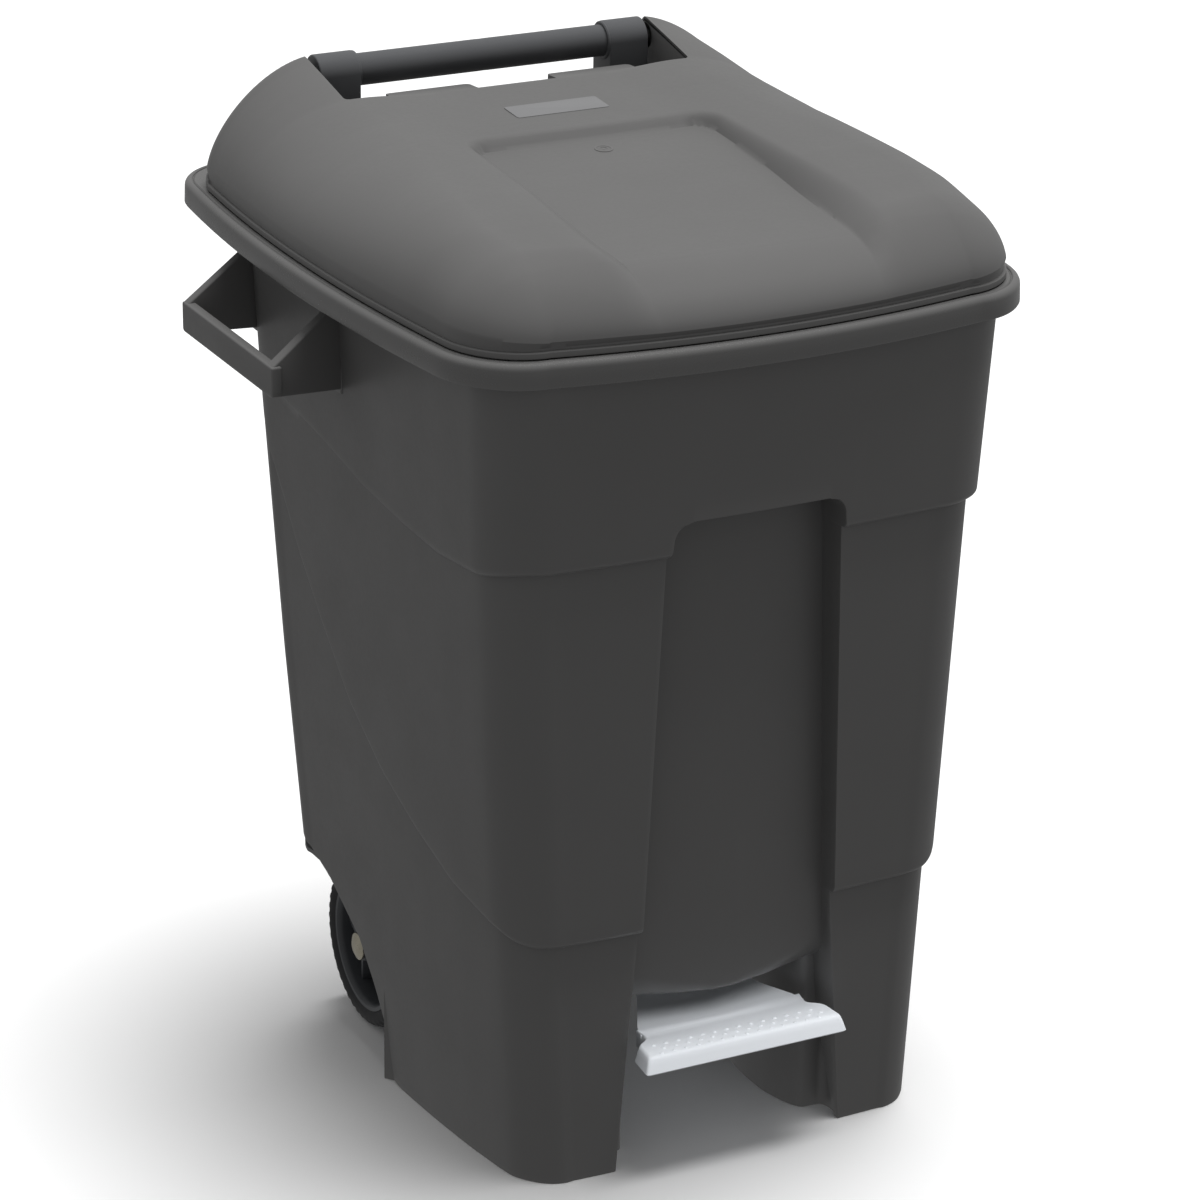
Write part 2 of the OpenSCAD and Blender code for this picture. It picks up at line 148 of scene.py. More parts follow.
def prism(name, outline, low, high, axis="z", bevel=0.8, segments=2, sharp=40):
    """A closed outline, extruded between low and high along Z or X, with rounded edges."""
    n = len(outline)
    verts = [(a, b, c) if axis == "z" else (c, a, b) for c in (low, high) for a, b in outline]
    faces = [tuple(range(n))[::-1], tuple(range(n, 2 * n))]
    faces += [(i, (i + 1) % n, n + (i + 1) % n, n + i) for i in range(n)]
    obj = mesh_piece(name, verts, faces, sharp)
    if bevel:
        soften(obj, bevel, segments, sharp)
    return obj


def soften(obj, width, segments=2, sharp=40):
    """Rounds the crisp edges of a mesh."""
    bm = bmesh.new()
    bm.from_mesh(obj.data)
    edges = [e for e in bm.edges if len(e.link_faces) == 2 and e.calc_face_angle(0) > math.radians(25)]
    bmesh.ops.bevel(bm, geom=edges, offset=width * MM, segments=segments, profile=0.5, affect="EDGES",
                    clamp_overlap=True)
    bm.to_mesh(obj.data)
    bm.free()
    tidy(obj, sharp)


def lathe(name, profile, centre, segments=96, sharp=35):
    """Turns a closed profile of (x, radius) points about an axis along X through centre (y, z)."""
    verts = []
    for k in range(segments):
        a = 2 * math.pi * k / segments
        verts += [(x, centre[0] + r * math.cos(a), centre[1] + r * math.sin(a)) for x, r in profile]
    faces = grid_faces(segments, len(profile), close_cols=True, close_rows=True)
    return mesh_piece(name, verts, faces, sharp)


def rounded(points, radius, steps=6):
    """A closed outline with its corners rounded. radius is one number, or one for each corner."""
    out, n = [], len(points)
    radii = radius if isinstance(radius, (list, tuple)) else [radius] * n
    for i, p in enumerate(points):
        p, a, b = (np.array(q, float) for q in (p, points[i - 1], points[(i + 1) % n]))
        to_a, to_b = np.linalg.norm(a - p), np.linalg.norm(b - p)
        u, v = (a - p) / to_a, (b - p) / to_b
        half = math.acos(np.clip(u @ v, -1, 1)) / 2
        reach = min(radii[i] / math.tan(half), 0.49 * to_a, 0.49 * to_b)
        if reach < 1e-3:
            out.append(tuple(p))
            continue
        start, end = p + u * reach, p + v * reach
        for k in range(steps + 1):
            t = k / steps
            out.append(tuple((1 - t) ** 2 * start + 2 * t * (1 - t) * p + t * t * end))
    return out


def bezier(p0, p1, p2, t):
    """A quarter-round curve from p0 to p2 with its corner at p1."""
    k = 0.5523
    a, b = p0 + (p1 - p0) * k, p2 + (p1 - p2) * k
    t = np.asarray(t)[:, None]
    return (1 - t) ** 3 * p0 + 3 * t * (1 - t) ** 2 * a + 3 * t * t * (1 - t) * b + t ** 3 * p2


def mirrored(obj, name):
    """A copy of obj on the other side of the YZ plane."""
    mesh = obj.data.copy()
    mesh.transform(Matrix.Scale(-1, 4, (1, 0, 0)))
    mesh.flip_normals()
    made = bpy.data.objects.new(name, mesh)
    bpy.context.scene.collection.objects.link(made)
    return made


# ------------------------------------------------------------------ the tub

# Columns run round the right half of the tub, from the middle of the front to the middle of the back.
N_FLOOR, N_WALL, N_FRONT, N_CORNER, N_SIDE, N_REAR_CORNER, N_REAR = 12, 5, 10, 16, 44, 14, 22
COLS = N_FLOOR + N_WALL + N_FRONT + N_CORNER + N_SIDE + N_REAR_CORNER + N_REAR
FRONT_R, REAR_R = 49.0, 50.0           # radii of the plan's corners
RECESS_Y = 150.0                       # wall behind the lift rod
STEP_DEEP = 8.0                        # how far each step of the front stands in
ROOF_RISE = 27.0                       # from the upper step to the top of the channel
NO_STEP = 0.15                         # what is left of the steps at the back


def channel_half(z):
    """Half width of the front channel, which narrows upwards and has rounded top corners."""
    edge = line(z, (0, 94), (195, 79), (492, 69.5), (CHANNEL_TOP, 66.5))
    r = 12.0
    t = np.clip((z - (CHANNEL_TOP - r)) / r, 0, 1)
    return edge - r * (1 - math.sqrt(max(1 - t * t, 0)))


def plan(z):
    """The sizes of the tub's outer plan at a height, before the steps are taken off."""
    return {
        "front": line(z, (0, 243.5), (195, 243), (492, 248.5), (645, 257.5)),
        "bow": line(z, (0, 3), (195, 4.5), (492, 6), (645, 7)),
        "rear": line(z, (0, 143), (153, 149), (309, 163), (509, 179), (645, 184)),
        "half_front": line(z, (0, 180), (195, 190.5), (492, 203), (645, 208)),
        "half_mid": line(z, (0, 188), (195, 197.5), (492, 208.5), (645, 215)),
        "half_rear": line(z, (0, 190), (153, 199), (309, 207), (509, 215), (645, 221)),
    }


def side_x(t, front, mid, rear):
    """Half width along a bowed side, from its half widths at the front (t = 0), middle and rear (t = 1)."""
    return front * (1 - t) + rear * t + (mid - (front + rear) / 2) * 4 * t * (1 - t)


def base_ring(z):
    """Right half of the plan at height z as COLS points, without the steps."""
    p = plan(z)
    f, xf = p["front"], p["half_front"] - FRONT_R
    c = channel_half(z)
    def front_y(x):
        return -(f + p["bow"] * (1 - (x / xf) ** 2))
    pts = [(c * t, CHANNEL_Y) for t in np.linspace(0, 1, N_FLOOR)]
    deep = front_y(c)
    for t, dx in zip((0.12, 0.5, 0.9, 0.985, 1.0), (0.1, 0.3, 0.6, 1.1, 2.4)):
        pts.append((c + dx, CHANNEL_Y + (deep - CHANNEL_Y) * t))
    for x in np.linspace(c + 5, xf, N_FRONT):
        pts.append((x, front_y(x)))
    y0, y1 = -f + FRONT_R, p["rear"] - REAR_R
    def side(y):
        return float(side_x((y - y0) / (y1 - y0), p["half_front"], p["half_mid"], p["half_rear"]))
    start, end = np.array([xf, -f]), np.array([side(y0), y0])
    corner = np.array([end[0] - 0.6, -f])
    pts += list(map(tuple, bezier(start, corner, end, np.linspace(0, 1, N_CORNER + 1)[1:])))
    for y in np.linspace(y0, y1, N_SIDE + 1)[1:]:
        pts.append((side(y), y))
    start, end = np.array(pts[-1]), np.array([p["half_rear"] - REAR_R, p["rear"]])
    corner = np.array([start[0] - 0.5, p["rear"]])
    pts += list(map(tuple, bezier(start, corner, end, np.linspace(0, 1, N_REAR_CORNER + 1)[1:])))
    rear_x = np.concatenate([np.linspace(end[0], 100, 7)[1:], np.linspace(97, 82, 8),
                             np.linspace(78, 22, N_REAR - 17), [TUNNEL_HALF + 0.6, TUNNEL_HALF - 0.6, 0]])
    recess_on = 1 - smooth(z, 606, 615)
    for x in rear_x:
        y = p["rear"] + (min(RECESS_Y, p["rear"]) - p["rear"]) * (1 - smooth(x, 84, 95)) * recess_on
        pts.append((x, float(y)))
    return np.array(pts)


FIRST_FRONT = N_FLOOR + N_WALL
FIRST_CORNER = FIRST_FRONT + N_FRONT
FIRST_SIDE = FIRST_CORNER + N_CORNER
FIRST_REAR_CORNER = FIRST_SIDE + N_SIDE
FIRST_REAR = FIRST_REAR_CORNER + N_REAR_CORNER


def column_keys():
    """For each column: lower end, heights of the two steps, and how deep each step is."""
    ring = base_ring(300.0)
    keys = []
    for j, (x, y) in enumerate(ring):
        if j < FIRST_CORNER:
            low_step, high_step, low_deep, high_deep = 195.0, 492.0, STEP_DEEP, STEP_DEEP
        else:
            low_step = line(y, (-238, 196), (-225, 199), (-208, 206), (-145, 220), (-90, 243), (-40, 268),
                            (8, 305), (49, 356), (78, 398), (107, 452), (128, 490), (150, 500))
            high_step = line(y, (-238, 492), (-205, 486), (-148, 482), (-91, 487.6), (-35, 496), (22, 510),
                             (81, 521.6), (128, 531), (150, 536))
            low_step = min(low_step, high_step - 3 * LIP)
            low_deep = line(y, (-225, 7.5), (-190, 5.5), (-145, 4.2), (-90, 3.2), (-40, 2.6), (60, 2.2),
                            (128, 1.2), (150, 0.2))
            high_deep = line(y, (-225, 7.5), (-190, 5.0), (-148, 3.0), (-91, 1.6), (-35, 0.9), (22, 0.6),
                             (128, 0.4), (150, NO_STEP))
        if j >= FIRST_REAR_CORNER:
            low_deep = high_deep = NO_STEP
        if j < N_FLOOR + 1:
            foot = FLOOR_Z
        elif j < FIRST_SIDE:
            foot = 0.0
        elif j >= FIRST_REAR:
            over_well = line(x, (101, FLOOR_Z), (112, 142), (135, 146), (170, 153))
            foot = TUNNEL_Z if x < TUNNEL_HALF else over_well
        else:
            foot = line(y, (-30, 0), (-19, 3), (-14, 40), (3, 71), (28, 104), (65, 127),
                        (79, 136), (122, 152), (160, 153))
        keys.append((float(foot), float(low_step), float(high_step), float(low_deep), float(high_deep)))
    return keys


KEYS = column_keys()


def floor_fillet(x, z):
    """How far the channel's floor has turned under the tub, in a curve that widens towards its sides."""
    r = line(x, (8, 4), (40, 13), (78, 30), (100, 30))
    t = np.clip((z - FLOOR_Z) / r, 0, 1)
    return r - r * np.sqrt(np.maximum(1 - (1 - t) ** 2, 0))


def column_rows(key):
    """(height, inset, how far into the channel) for every row of a column, from its lower end to the rim."""
    foot, low_step, high_step, low_deep, high_deep = key
    roof = high_step + ROOF_RISE
    above = roof + 0.9
    arc = np.radians(np.linspace(90, 0, 8))
    def heights(low, high, steps):
        """Heights above low, up to high."""
        return [low + (high - low) * t for t in np.linspace(0, 1, steps + 1)[1:]]
    rows = [(foot + (low_step - foot) * t, low_deep + high_deep, 1) for t in np.linspace(0, 1, 25) ** 1.5]
    rows += [(low_step + LIP * (1 - math.sin(a)), high_deep + low_deep * (1 - math.cos(a)), 1) for a in arc]
    rows += [(z, high_deep, 1) for z in heights(low_step + LIP, high_step, 20)]
    rows += [(high_step + LIP * (1 - math.sin(a)), high_deep * (1 - math.cos(a)), 1) for a in arc]
    rows += [(z, 0, 1) for z in heights(high_step + LIP, roof, 12)]
    rows += [(roof, 0, 0.04), (above, 0, 0.0)]
    rows += [(z, 0, 0) for z in heights(above, TUB_TOP, 11)]
    return rows


def tub_point(j, z, inset, channel):
    """The tub's outer surface at column j and height z."""
    ring = ring_at(z)
    x, y = ring[j]
    nx, ny = normal_at(z)[j]
    if j < FIRST_FRONT:
        # in the channel the step is only on the front face, so the floor and walls keep their place
        f = plan(z)
        xf = f["half_front"] - FRONT_R
        front = -(f["front"] + f["bow"] * (1 - (x / xf) ** 2)) + inset
        depth = (y - CHANNEL_Y) / (ring[FIRST_FRONT - 1][1] - CHANNEL_Y)
        sunk = CHANNEL_Y + (front - CHANNEL_Y) * depth + (floor_fillet(x, z) if j < N_FLOOR + 1 else 0)
        return np.array([x, sunk * channel + front * (1 - channel), z])
    return np.array([x + nx * inset, y + ny * inset, z])


_rings = {}
_normals = {}


def ring_at(z):
    """The plain outline at a height, kept so that each one is worked out once."""
    key = round(float(z), 2)
    if key not in _rings:
        _rings[key] = base_ring(key)
    return _rings[key]


def normal_at(z):
    """Unit vectors in plan that point into the tub at each column of the plain outline."""
    key = round(float(z), 2)
    if key not in _normals:
        ring = ring_at(key)
        d = np.gradient(ring, axis=0)
        d /= np.linalg.norm(d, axis=1)[:, None] + 1e-9
        _normals[key] = np.stack([-d[:, 1], d[:, 0]], 1)
    return _normals[key]


def tub_skin():
    """The moulded wall: outer and inner surfaces joined at both edges, left and right halves together."""
    outer = np.array([[tub_point(j, *row) for row in column_rows(KEYS[j])] for j in range(COLS)])
    rows = outer.shape[1]
    along = np.gradient(outer[:, :, :2], axis=0)
    along /= np.linalg.norm(along, axis=2)[:, :, None] + 1e-9
    inward = np.stack([-along[:, :, 1], along[:, :, 0]], 2)
    inward[0] = (0, 1)
    inward[-1] = (0, -1)
    inner = outer.copy()
    inner[:, :, :2] += inward * WALL
    inner[0, :, 0] = 0
    inner[-1, :, 0] = 0
    verts, faces = [], []
    for side in (1, -1):
        for surface, flip in ((outer, side < 0), (inner, side > 0)):
            base = len(verts)
            verts += [(side * x, y, z) for col in surface for x, y, z in col]
            for c in range(COLS - 1):
                for r in range(rows - 1):
                    here, there = base + c * rows + r, base + (c + 1) * rows + r
                    quad = (here, there, there + 1, here + 1)
                    faces.append(quad[::-1] if flip else quad)
        a, b = len(verts) - 2 * COLS * rows, len(verts) - COLS * rows
        for c in range(COLS - 1):
            for r in (0, rows - 1):
                here, there = c * rows + r, (c + 1) * rows + r
                faces.append((a + here, b + here, b + there, a + there))
    return mesh_piece("tub_skin", verts, faces, 33)


# ------------------------------------------------------------------ the rim

RIM_COUNTS = (30, 22, 60, 22, 30)      # points on half a front, corner, side, rear corner and rear
LID_COUNTS = (80, 34, 104, 26, 24)


def closed_ring(front, bow, halves, rear, r_front, r_rear, rear_bow=0.0, counts=RIM_COUNTS):
    """A closed outline, counter-clockwise from the middle of the front, with bowed edges and rounded corners.
    halves are the half widths at the front, the middle and the rear."""
    n_front, n_corner, n_side, n_rear_corner, n_rear = counts
    half_front, half_mid, half_rear = halves
    xf = half_front - r_front
    pts = [(x, -(front + bow * (1 - (x / xf) ** 2))) for x in np.linspace(0, xf, n_front)]
    y0, y1 = -front + r_front, rear - r_rear
    def side(y):
        return side_x((y - y0) / (y1 - y0), half_front, half_mid, half_rear)
    slope = side(y0 + 1) - side(y0)
    start, end = np.array([xf, -front]), np.array([side(y0), y0])
    corner = np.array([end[0] - slope * r_front * 0.9, -front])
    pts += list(map(tuple, bezier(start, corner, end, np.linspace(0, 1, n_corner + 1)[1:])))
    pts += [(side(y), y) for y in np.linspace(y0, y1, n_side + 1)[1:]]
    slope = side(y1) - side(y1 - 1)
    start, end = np.array(pts[-1]), np.array([half_rear - r_rear, rear])
    corner = np.array([start[0] + slope * r_rear * 0.9, rear])
    pts += list(map(tuple, bezier(start, corner, end, np.linspace(0, 1, n_rear_corner + 1)[1:])))
    pts += [(x, rear + rear_bow * (1 - (x / end[0]) ** 2)) for x in np.linspace(end[0], 0, n_rear + 1)[1:]]
    right = np.array(pts)
    left = right[-2:0:-1] * [-1, 1]
    return np.concatenate([right, left])


def ring_inset(ring, distance):
    """The closed outline moved inwards."""
    d = np.roll(ring, -1, 0) - np.roll(ring, 1, 0)
    d /= np.linalg.norm(d, axis=1)[:, None] + 1e-9
    return ring + np.stack([-d[:, 1], d[:, 0]], 1) * distance


def rim():
    """The rim: one closed section round the mouth of the tub that widens to a shelf at the rear."""
    p = plan(TUB_TOP)
    outer = closed_ring(262, 17, (231, 247, 236), 279, 60, 50, 1.5)
    wall = closed_ring(p["front"], p["bow"], (p["half_front"], p["half_mid"], p["half_rear"]), p["rear"],
                       FRONT_R, REAR_R)
    section = []                                     # rings from the wall, round the outside, to the inside
    def ring(points, z):
        section.append(np.column_stack([points, np.full(len(points), z)]))
    def between(t):
        return ring_inset(outer, 4) * (1 - t) + wall * t
    ring(ring_inset(wall, WALL), TUB_TOP - 6)
    ring(wall + (wall - ring_inset(wall, 0.2)), TUB_TOP - 6)
    ring(between(0.85), TUB_TOP + 2)
    ring(between(0.5), TUB_TOP + 3)
    ring(ring_inset(outer, 3.4), TUB_TOP + 2.5)
    ring(ring_inset(outer, 3.0), RIM_LOW + 0.6)
    ring(ring_inset(outer, 2.4), RIM_LOW)
    ring(ring_inset(outer, 0.6), RIM_LOW)
    ring(outer, RIM_LOW + 1)
    ring(ring_inset(outer, 0.3), RIM_LOW + 10)
    for a in np.radians(np.linspace(0, 90, 6)):
        ring(ring_inset(outer, 0.4 + 5 * (1 - math.cos(a))), RIM_TOP - 5 + 5 * math.sin(a))
    for a in np.radians(np.linspace(60, 0, 4)):
        ring(ring_inset(outer, 5.6 + 0.8 * math.cos(a)), RIM_TOP - 1.2 + 1.05 * math.sin(a))
    ring(ring_inset(outer, 7.0), RIM_TOP - 1.4)
    ring(ring_inset(outer, 7.6), RIM_TOP - 0.7)
    ring(ring_inset(outer, 8.2), RIM_TOP - 0.3)
    edge = ring_inset(wall, WALL + 0.6)
    far = ring_inset(outer, 12)
    for t in (0.1, 0.5, 0.9):
        ring(far * (1 - t) + edge * t, RIM_TOP - 0.3)
    ring(edge, RIM_TOP - 1.0)
    ring(ring_inset(wall, WALL + 1.2), RIM_TOP - 2.2)
    ring(ring_inset(wall, WALL + 1.2), TUB_TOP - 5)
    verts = [tuple(p) for r in section for p in r]
    faces = grid_faces(len(section), len(outer), close_cols=True, close_rows=True)
    return mesh_piece("rim", verts, faces, 33)


# ------------------------------------------------------------------ floor, legs and shelf details of the body

def inner_outline(z, extra=0.4):
    """Closed outline just inside the wall at a height, for floors and plates."""
    ring = ring_at(z)
    normals = normal_at(z)
    pts = []
    for j in [j for j in range(COLS) if j < N_FLOOR or j >= FIRST_FRONT]:
        x, y = ring[j]
        _, low_step, _, low_deep, high_deep = KEYS[j]
        depth = (low_deep + high_deep if z < low_step else high_deep) + extra
        if j < N_FLOOR:
            pts.append((x, y + extra + float(floor_fillet(x, FLOOR_Z + 0.5))))
        else:
            pts.append((x + normals[j][0] * depth, y + normals[j][1] * depth))
    left = [(-x, y) for x, y in pts[::-1] if x > 1e-6]
    return pts + left


def clip_outline(points, axis, value, keep_above):
    """Cuts a closed outline along a line x = value or y = value."""
    out, n = [], len(points)
    for i in range(n):
        p, q = points[i], points[(i + 1) % n]
        a, b = p[axis] - value, q[axis] - value
        if not keep_above:
            a, b = -a, -b
        if a >= 0:
            out.append(p)
        if a * b < 0:
            t = a / (a - b)
            out.append(tuple(p[k] + (q[k] - p[k]) * t for k in (0, 1)))
    return out


def tub_floor():
    """The floor pan, raised over the wheels and the pedal's arm, and the closed sides of the wheel wells."""
    well_in, well_y, well_rear, well_out, roof = 110.0, -9.0, 144.0, 186.0, 142.0
    tunnel_y, tunnel_rear = -14.0, 149.0
    whole = inner_outline(FLOOR_Z + 2)
    middle = clip_outline(clip_outline(whole, 0, well_in, False), 0, -well_in, True)
    parts = []
    def sheet(name, outline, z=FLOOR_Z):
        parts.append(prism(name, outline, z, z + WALL, bevel=0))
    sheet("floor_middle", clip_outline(middle, 1, tunnel_y, False))
    rear_z = FLOOR_Z + 2 + (tunnel_rear + 8) * 0.23
    above = [(tunnel_rear, rear_z + WALL), (-9, FLOOR_Z + 2 + WALL), (tunnel_y - WALL, FLOOR_Z + WALL)]
    rise = [(tunnel_y - WALL, FLOOR_Z), (tunnel_y, FLOOR_Z), (-8, FLOOR_Z + 2), (tunnel_rear, rear_z)] + above
    parts.append(prism("tunnel_roof", rise, -TUNNEL_HALF, TUNNEL_HALF, axis="x", bevel=0))
    cheek = [(tunnel_y - WALL, FLOOR_Z), (tunnel_rear, FLOOR_Z)] + above
    for side in (1, -1):
        x0, x1 = span(side, TUNNEL_HALF, TUNNEL_HALF + WALL)
        parts.append(prism("tunnel_cheek", cheek, x0, x1, axis="x", bevel=0))
        beside = clip_outline(middle, 1, tunnel_y - 0.5, True)
        sheet("floor_strip", clip_outline(beside, 0, side * (TUNNEL_HALF + 0.5), side > 0))
        half = clip_outline(whole, 0, side * (well_in - 0.5), side > 0)
        sheet("floor_front", clip_outline(half, 1, well_y, False))
        over = clip_outline(inner_outline(roof), 0, side * (well_in - 3), side > 0)
        sheet("well_roof", clip_outline(over, 1, well_y - 3, True), roof)
        x0, x1 = span(side, well_in - WALL, well_in)
        parts.append(prism("well_side", box(x0, well_y - 3, x1, well_rear), FLOOR_Z, roof + 1, bevel=0))
        x0, x1 = span(side, well_in - WALL, well_out)
        parts.append(prism("well_front", box(x0, well_y - WALL, x1, well_y), FLOOR_Z, roof + 1, bevel=0))
    return parts


def ribbon(name, points, low, tops, thick, sharp=35):
    """An upright wall of even thickness along an open line of plan points, with one top height for each."""
    pts = np.array(points, float)
    d = np.gradient(pts, axis=0)
    d /= np.linalg.norm(d, axis=1)[:, None]
    other = pts + np.stack([-d[:, 1], d[:, 0]], 1) * thick
    n, verts = len(pts), []
    for path in (pts, other):
        verts += [(x, y, low) for x, y in path]
        verts += [(x, y, z) for (x, y), z in zip(path, tops)]
    faces = []
    for i in range(n - 1):
        faces += [(i, i + 1, n + i + 1, n + i), (2 * n + i + 1, 2 * n + i, 3 * n + i, 3 * n + i + 1),
                  (n + i, n + i + 1, 3 * n + i + 1, 3 * n + i), (i + 1, i, 2 * n + i, 2 * n + i + 1)]
    faces += [(0, n, 3 * n, 2 * n), (n - 1, 3 * n - 1, 4 * n - 1, 2 * n - 1)]
    return mesh_piece(name, verts, faces, sharp)


def smooth_path(points, passes=3):
    """Rounds an open line by cutting its corners."""
    pts = [np.array(p, float) for p in points]
    for _ in range(passes):
        out = [pts[0]]
        for a, b in zip(pts[:-1], pts[1:]):
            out += [a * 0.75 + b * 0.25, a * 0.25 + b * 0.75]
        pts = out + [pts[-1]]
    return pts


def legs():
    """Inner walls of the two front legs: a groove behind the front edge, then a rounded pillar."""
    parts = []
    inner = smooth_path([(97.5, -222), (96.5, -203), (84, -202.5), (76, -201), (68, -182), (63.5, -160),
                         (64, -116), (72, -92), (100, -78), (140, -62), (176, -34), (187.2, -20)])
    tops = [line(y, (-222, 147), (-212, 136), (-203, 131), (-195, 129), (-180, 128.3)) for _, y in inner]
    for side in (1, -1):
        parts.append(ribbon("leg_inner", [(side * x, y) for x, y in inner], 0.3, tops, -2.8 * side))
    return parts


def posts():
    """Posts that carry the push bar, with a buttress behind each, and ribs under the shelf."""
    parts = []
    y, z = HINGE
    long_rib = [(173, 560), (186, 560), (258, 636), (258, 649), (182, 649)]
    short_rib = [(181, 600), (186, 600), (262, 639), (262, 649), (181, 649)]
    buttress = [(y + 7, RIM_TOP - 8), (y + 50, RIM_TOP - 8), (y + 50, RIM_TOP - 4), (y + 16, RIM_TOP + 31),
                (y + 7, RIM_TOP + 31)]
    for side in (1, -1):
        x0, x1 = span(side, BAR_HALF + 6.2, BAR_HALF + SHOE_W - 6.2)
        parts.append(prism("post", rounded(box(x0, y - 9, x1, y + 9), 3), RIM_TOP - 7, z - 18.5, bevel=0.6))
        plates = [("buttress", buttress, BAR_HALF + 14.5, 4.0), ("shelf_rib", long_rib, 108, 3.6),
                  ("shelf_rib", long_rib, 148, 3.6), ("shelf_rib", short_rib, 24, 3.6)]
        for name, outline, near, thick in plates:
            parts.append(prism(name, outline, *span(side, near, near + thick), axis="x", bevel=0.6))
    return parts


def brackets():
    """Axle brackets and pedal lugs under the floor."""
    parts = []
    top = FLOOR_Z + 1
    def lug(x0, x1, y, z, r, top, foot):
        arc = [(y + r * math.cos(a), z + r * math.sin(a)) for a in np.radians(np.linspace(-180, 0, 19))]
        outline = arc + [(y + foot, top), (y - foot, top)]
        return prism("lug", outline, x0, x1, axis="x", bevel=0.7)
    for side in (1, -1):
        parts.append(lug(*span(side, 102, 116), *AXLE, 16, top, 22))
        keel = [(-38, 76), (134, 76), (140, top), (-38, top)]
        parts.append(prism("keel", keel, *span(side, 106, 110), axis="x", bevel=0.6))
        parts.append(lug(*span(side, 30, 36), *PEDAL_PIVOT, 12, top, 18))
    return parts


def body():
    """The whole body moulding, with the rim's faces in a second material slot."""
    made = join("bin_body", [tub_skin(), rim()] + tub_floor() + legs() + posts() + brackets(), 33)
    for face in made.data.polygons:
        if RIM_LOW - 0.5 < face.center.z / MM < RIM_TOP + 1:
            face.material_index = 1
    return made


# ------------------------------------------------------------------ the lid

def lid_outline():
    """The lower edge of the lid in plan."""
    return closed_ring(253, 17, (222, 236.5, 228), 240, 56, 34, counts=LID_COUNTS)


LID_BASE = 655.4
LID_ROWS = 140
LID_WALL = 3.0
EDGE_RISE = 7.5          # height of the lip under the rounded part
STEEP_Y = 206.0          # the lid's slope is steeper behind this
STEEP = 2.2


def lid_top(x, y):
    """Height of the lid's plateau: it rises to the back, dips in the middle and has ears by the notch."""
    x = np.abs(x)
    middle = line(y, (-260, 701), (-220, 708), (-160, 714.5), (-100, 719.5), (20, 725), (75, 727.5),
                  (135, 731.5), (240, 731.5))
    crown = line(y, (-260, 2), (-200, 4.5), (-140, 6), (0, 5), (130, 3)) * smooth(x, 72, 132)
    ears = (15.5 * np.clip((y - 137) / 73, 0, 1) - 0.6 * np.maximum(y - 212, 0)) * smooth(x, 60, 140)
    return middle + crown + ears


def lid_recess(x, y):
    """How much of the front recess applies at a place: 0 on the shoulders, 1 at the foot of its walls."""
    wide = line(y, (-260, 26), (-180, 25), (-90, 16), (0, 10), (40, 8))
    foot = line(y, (-260, 89), (-242, 90.4), (-150, 92.5), (20, 96))
    r = 18.0
    dx, dy = np.abs(x) - (foot - r), y - (21 - r)
    out = np.hypot(np.maximum(dx, 0), np.maximum(dy, 0)) + np.minimum(np.maximum(dx, dy), 0) - r
    return np.clip(1 - out / wide, 0, 1) ** 1.9


def lid_height(x, y, s):
    """Height of the lid's outer surface. s is the distance inwards from the outline."""
    base = LID_BASE + EDGE_RISE
    def swell(top, reach, power):
        """A height that rises from the base to top within reach of the outline."""
        t = np.clip(1 - s / reach, 0, 1)
        return base + (top - base) * (1 - t ** power) ** (1 / power)
    reach = line(y, (-260, 58), (-150, 58), (-60, 78), (30, 98), (110, 98), (170, 90), (240, 88))
    z = swell(lid_top(x, y), reach, line(y, (-260, 1.85), (140, 1.85), (200, 1.7)))
    floor = line(y, (-300, 696), (-242, 698.5), (-215, 699.5), (-180, 702), (-140, 705), (-60, 712),
                 (16, 717.5), (60, 719))
    return z + np.minimum(swell(floor, 60, 1.85) - z, 0) * lid_recess(x, y)


def lid_stretch(p):
    """The lid's slope behind the hinge is steeper, so distances there count for more."""
    return np.column_stack([p[:, 0], p[:, 1] + STEEP * np.maximum(p[:, 1] - STEEP_Y, 0)])


def lid_distance(p, ring):
    """Distance from each point to the outline."""
    a, q = lid_stretch(ring), lid_stretch(p)
    ab = np.roll(a, -1, axis=0) - a
    aq = q[:, None, :] - a
    t = np.clip((aq * ab).sum(2) / np.maximum((ab * ab).sum(1), 1e-9), 0, 1)
    return np.sqrt(((aq - ab * t[:, :, None]) ** 2).sum(2)).min(1)


def lid_surface(drop):
    """The outline, and rings from it to the middle line. drop moves them down and in, for the inside."""
    outline = ring_inset(lid_outline(), drop)
    spine = np.column_stack([np.zeros(len(outline)), np.clip(outline[:, 1] * 0.92, -170, 150)])
    rings = []
    for k in range(LID_ROWS + 1):
        u = k / LID_ROWS
        t = 0.55 * u ** 1.9 + 0.45 * u
        p = outline * (1 - t) + spine * t
        s = lid_distance(p, outline) + 0.02
        rings.append(np.column_stack([p, lid_height(p[:, 0], p[:, 1], s) - drop]))
    return outline, rings


def lid_low(y):
    """Lower edge of the lid, raised behind the hinge so that it turns clear of the rim."""
    clear = HINGE[1] - np.sqrt(np.maximum(77.6 ** 2 - (y - HINGE[0]) ** 2, 0))
    return np.where(y > HINGE[0], np.maximum(LID_BASE, clear), LID_BASE)


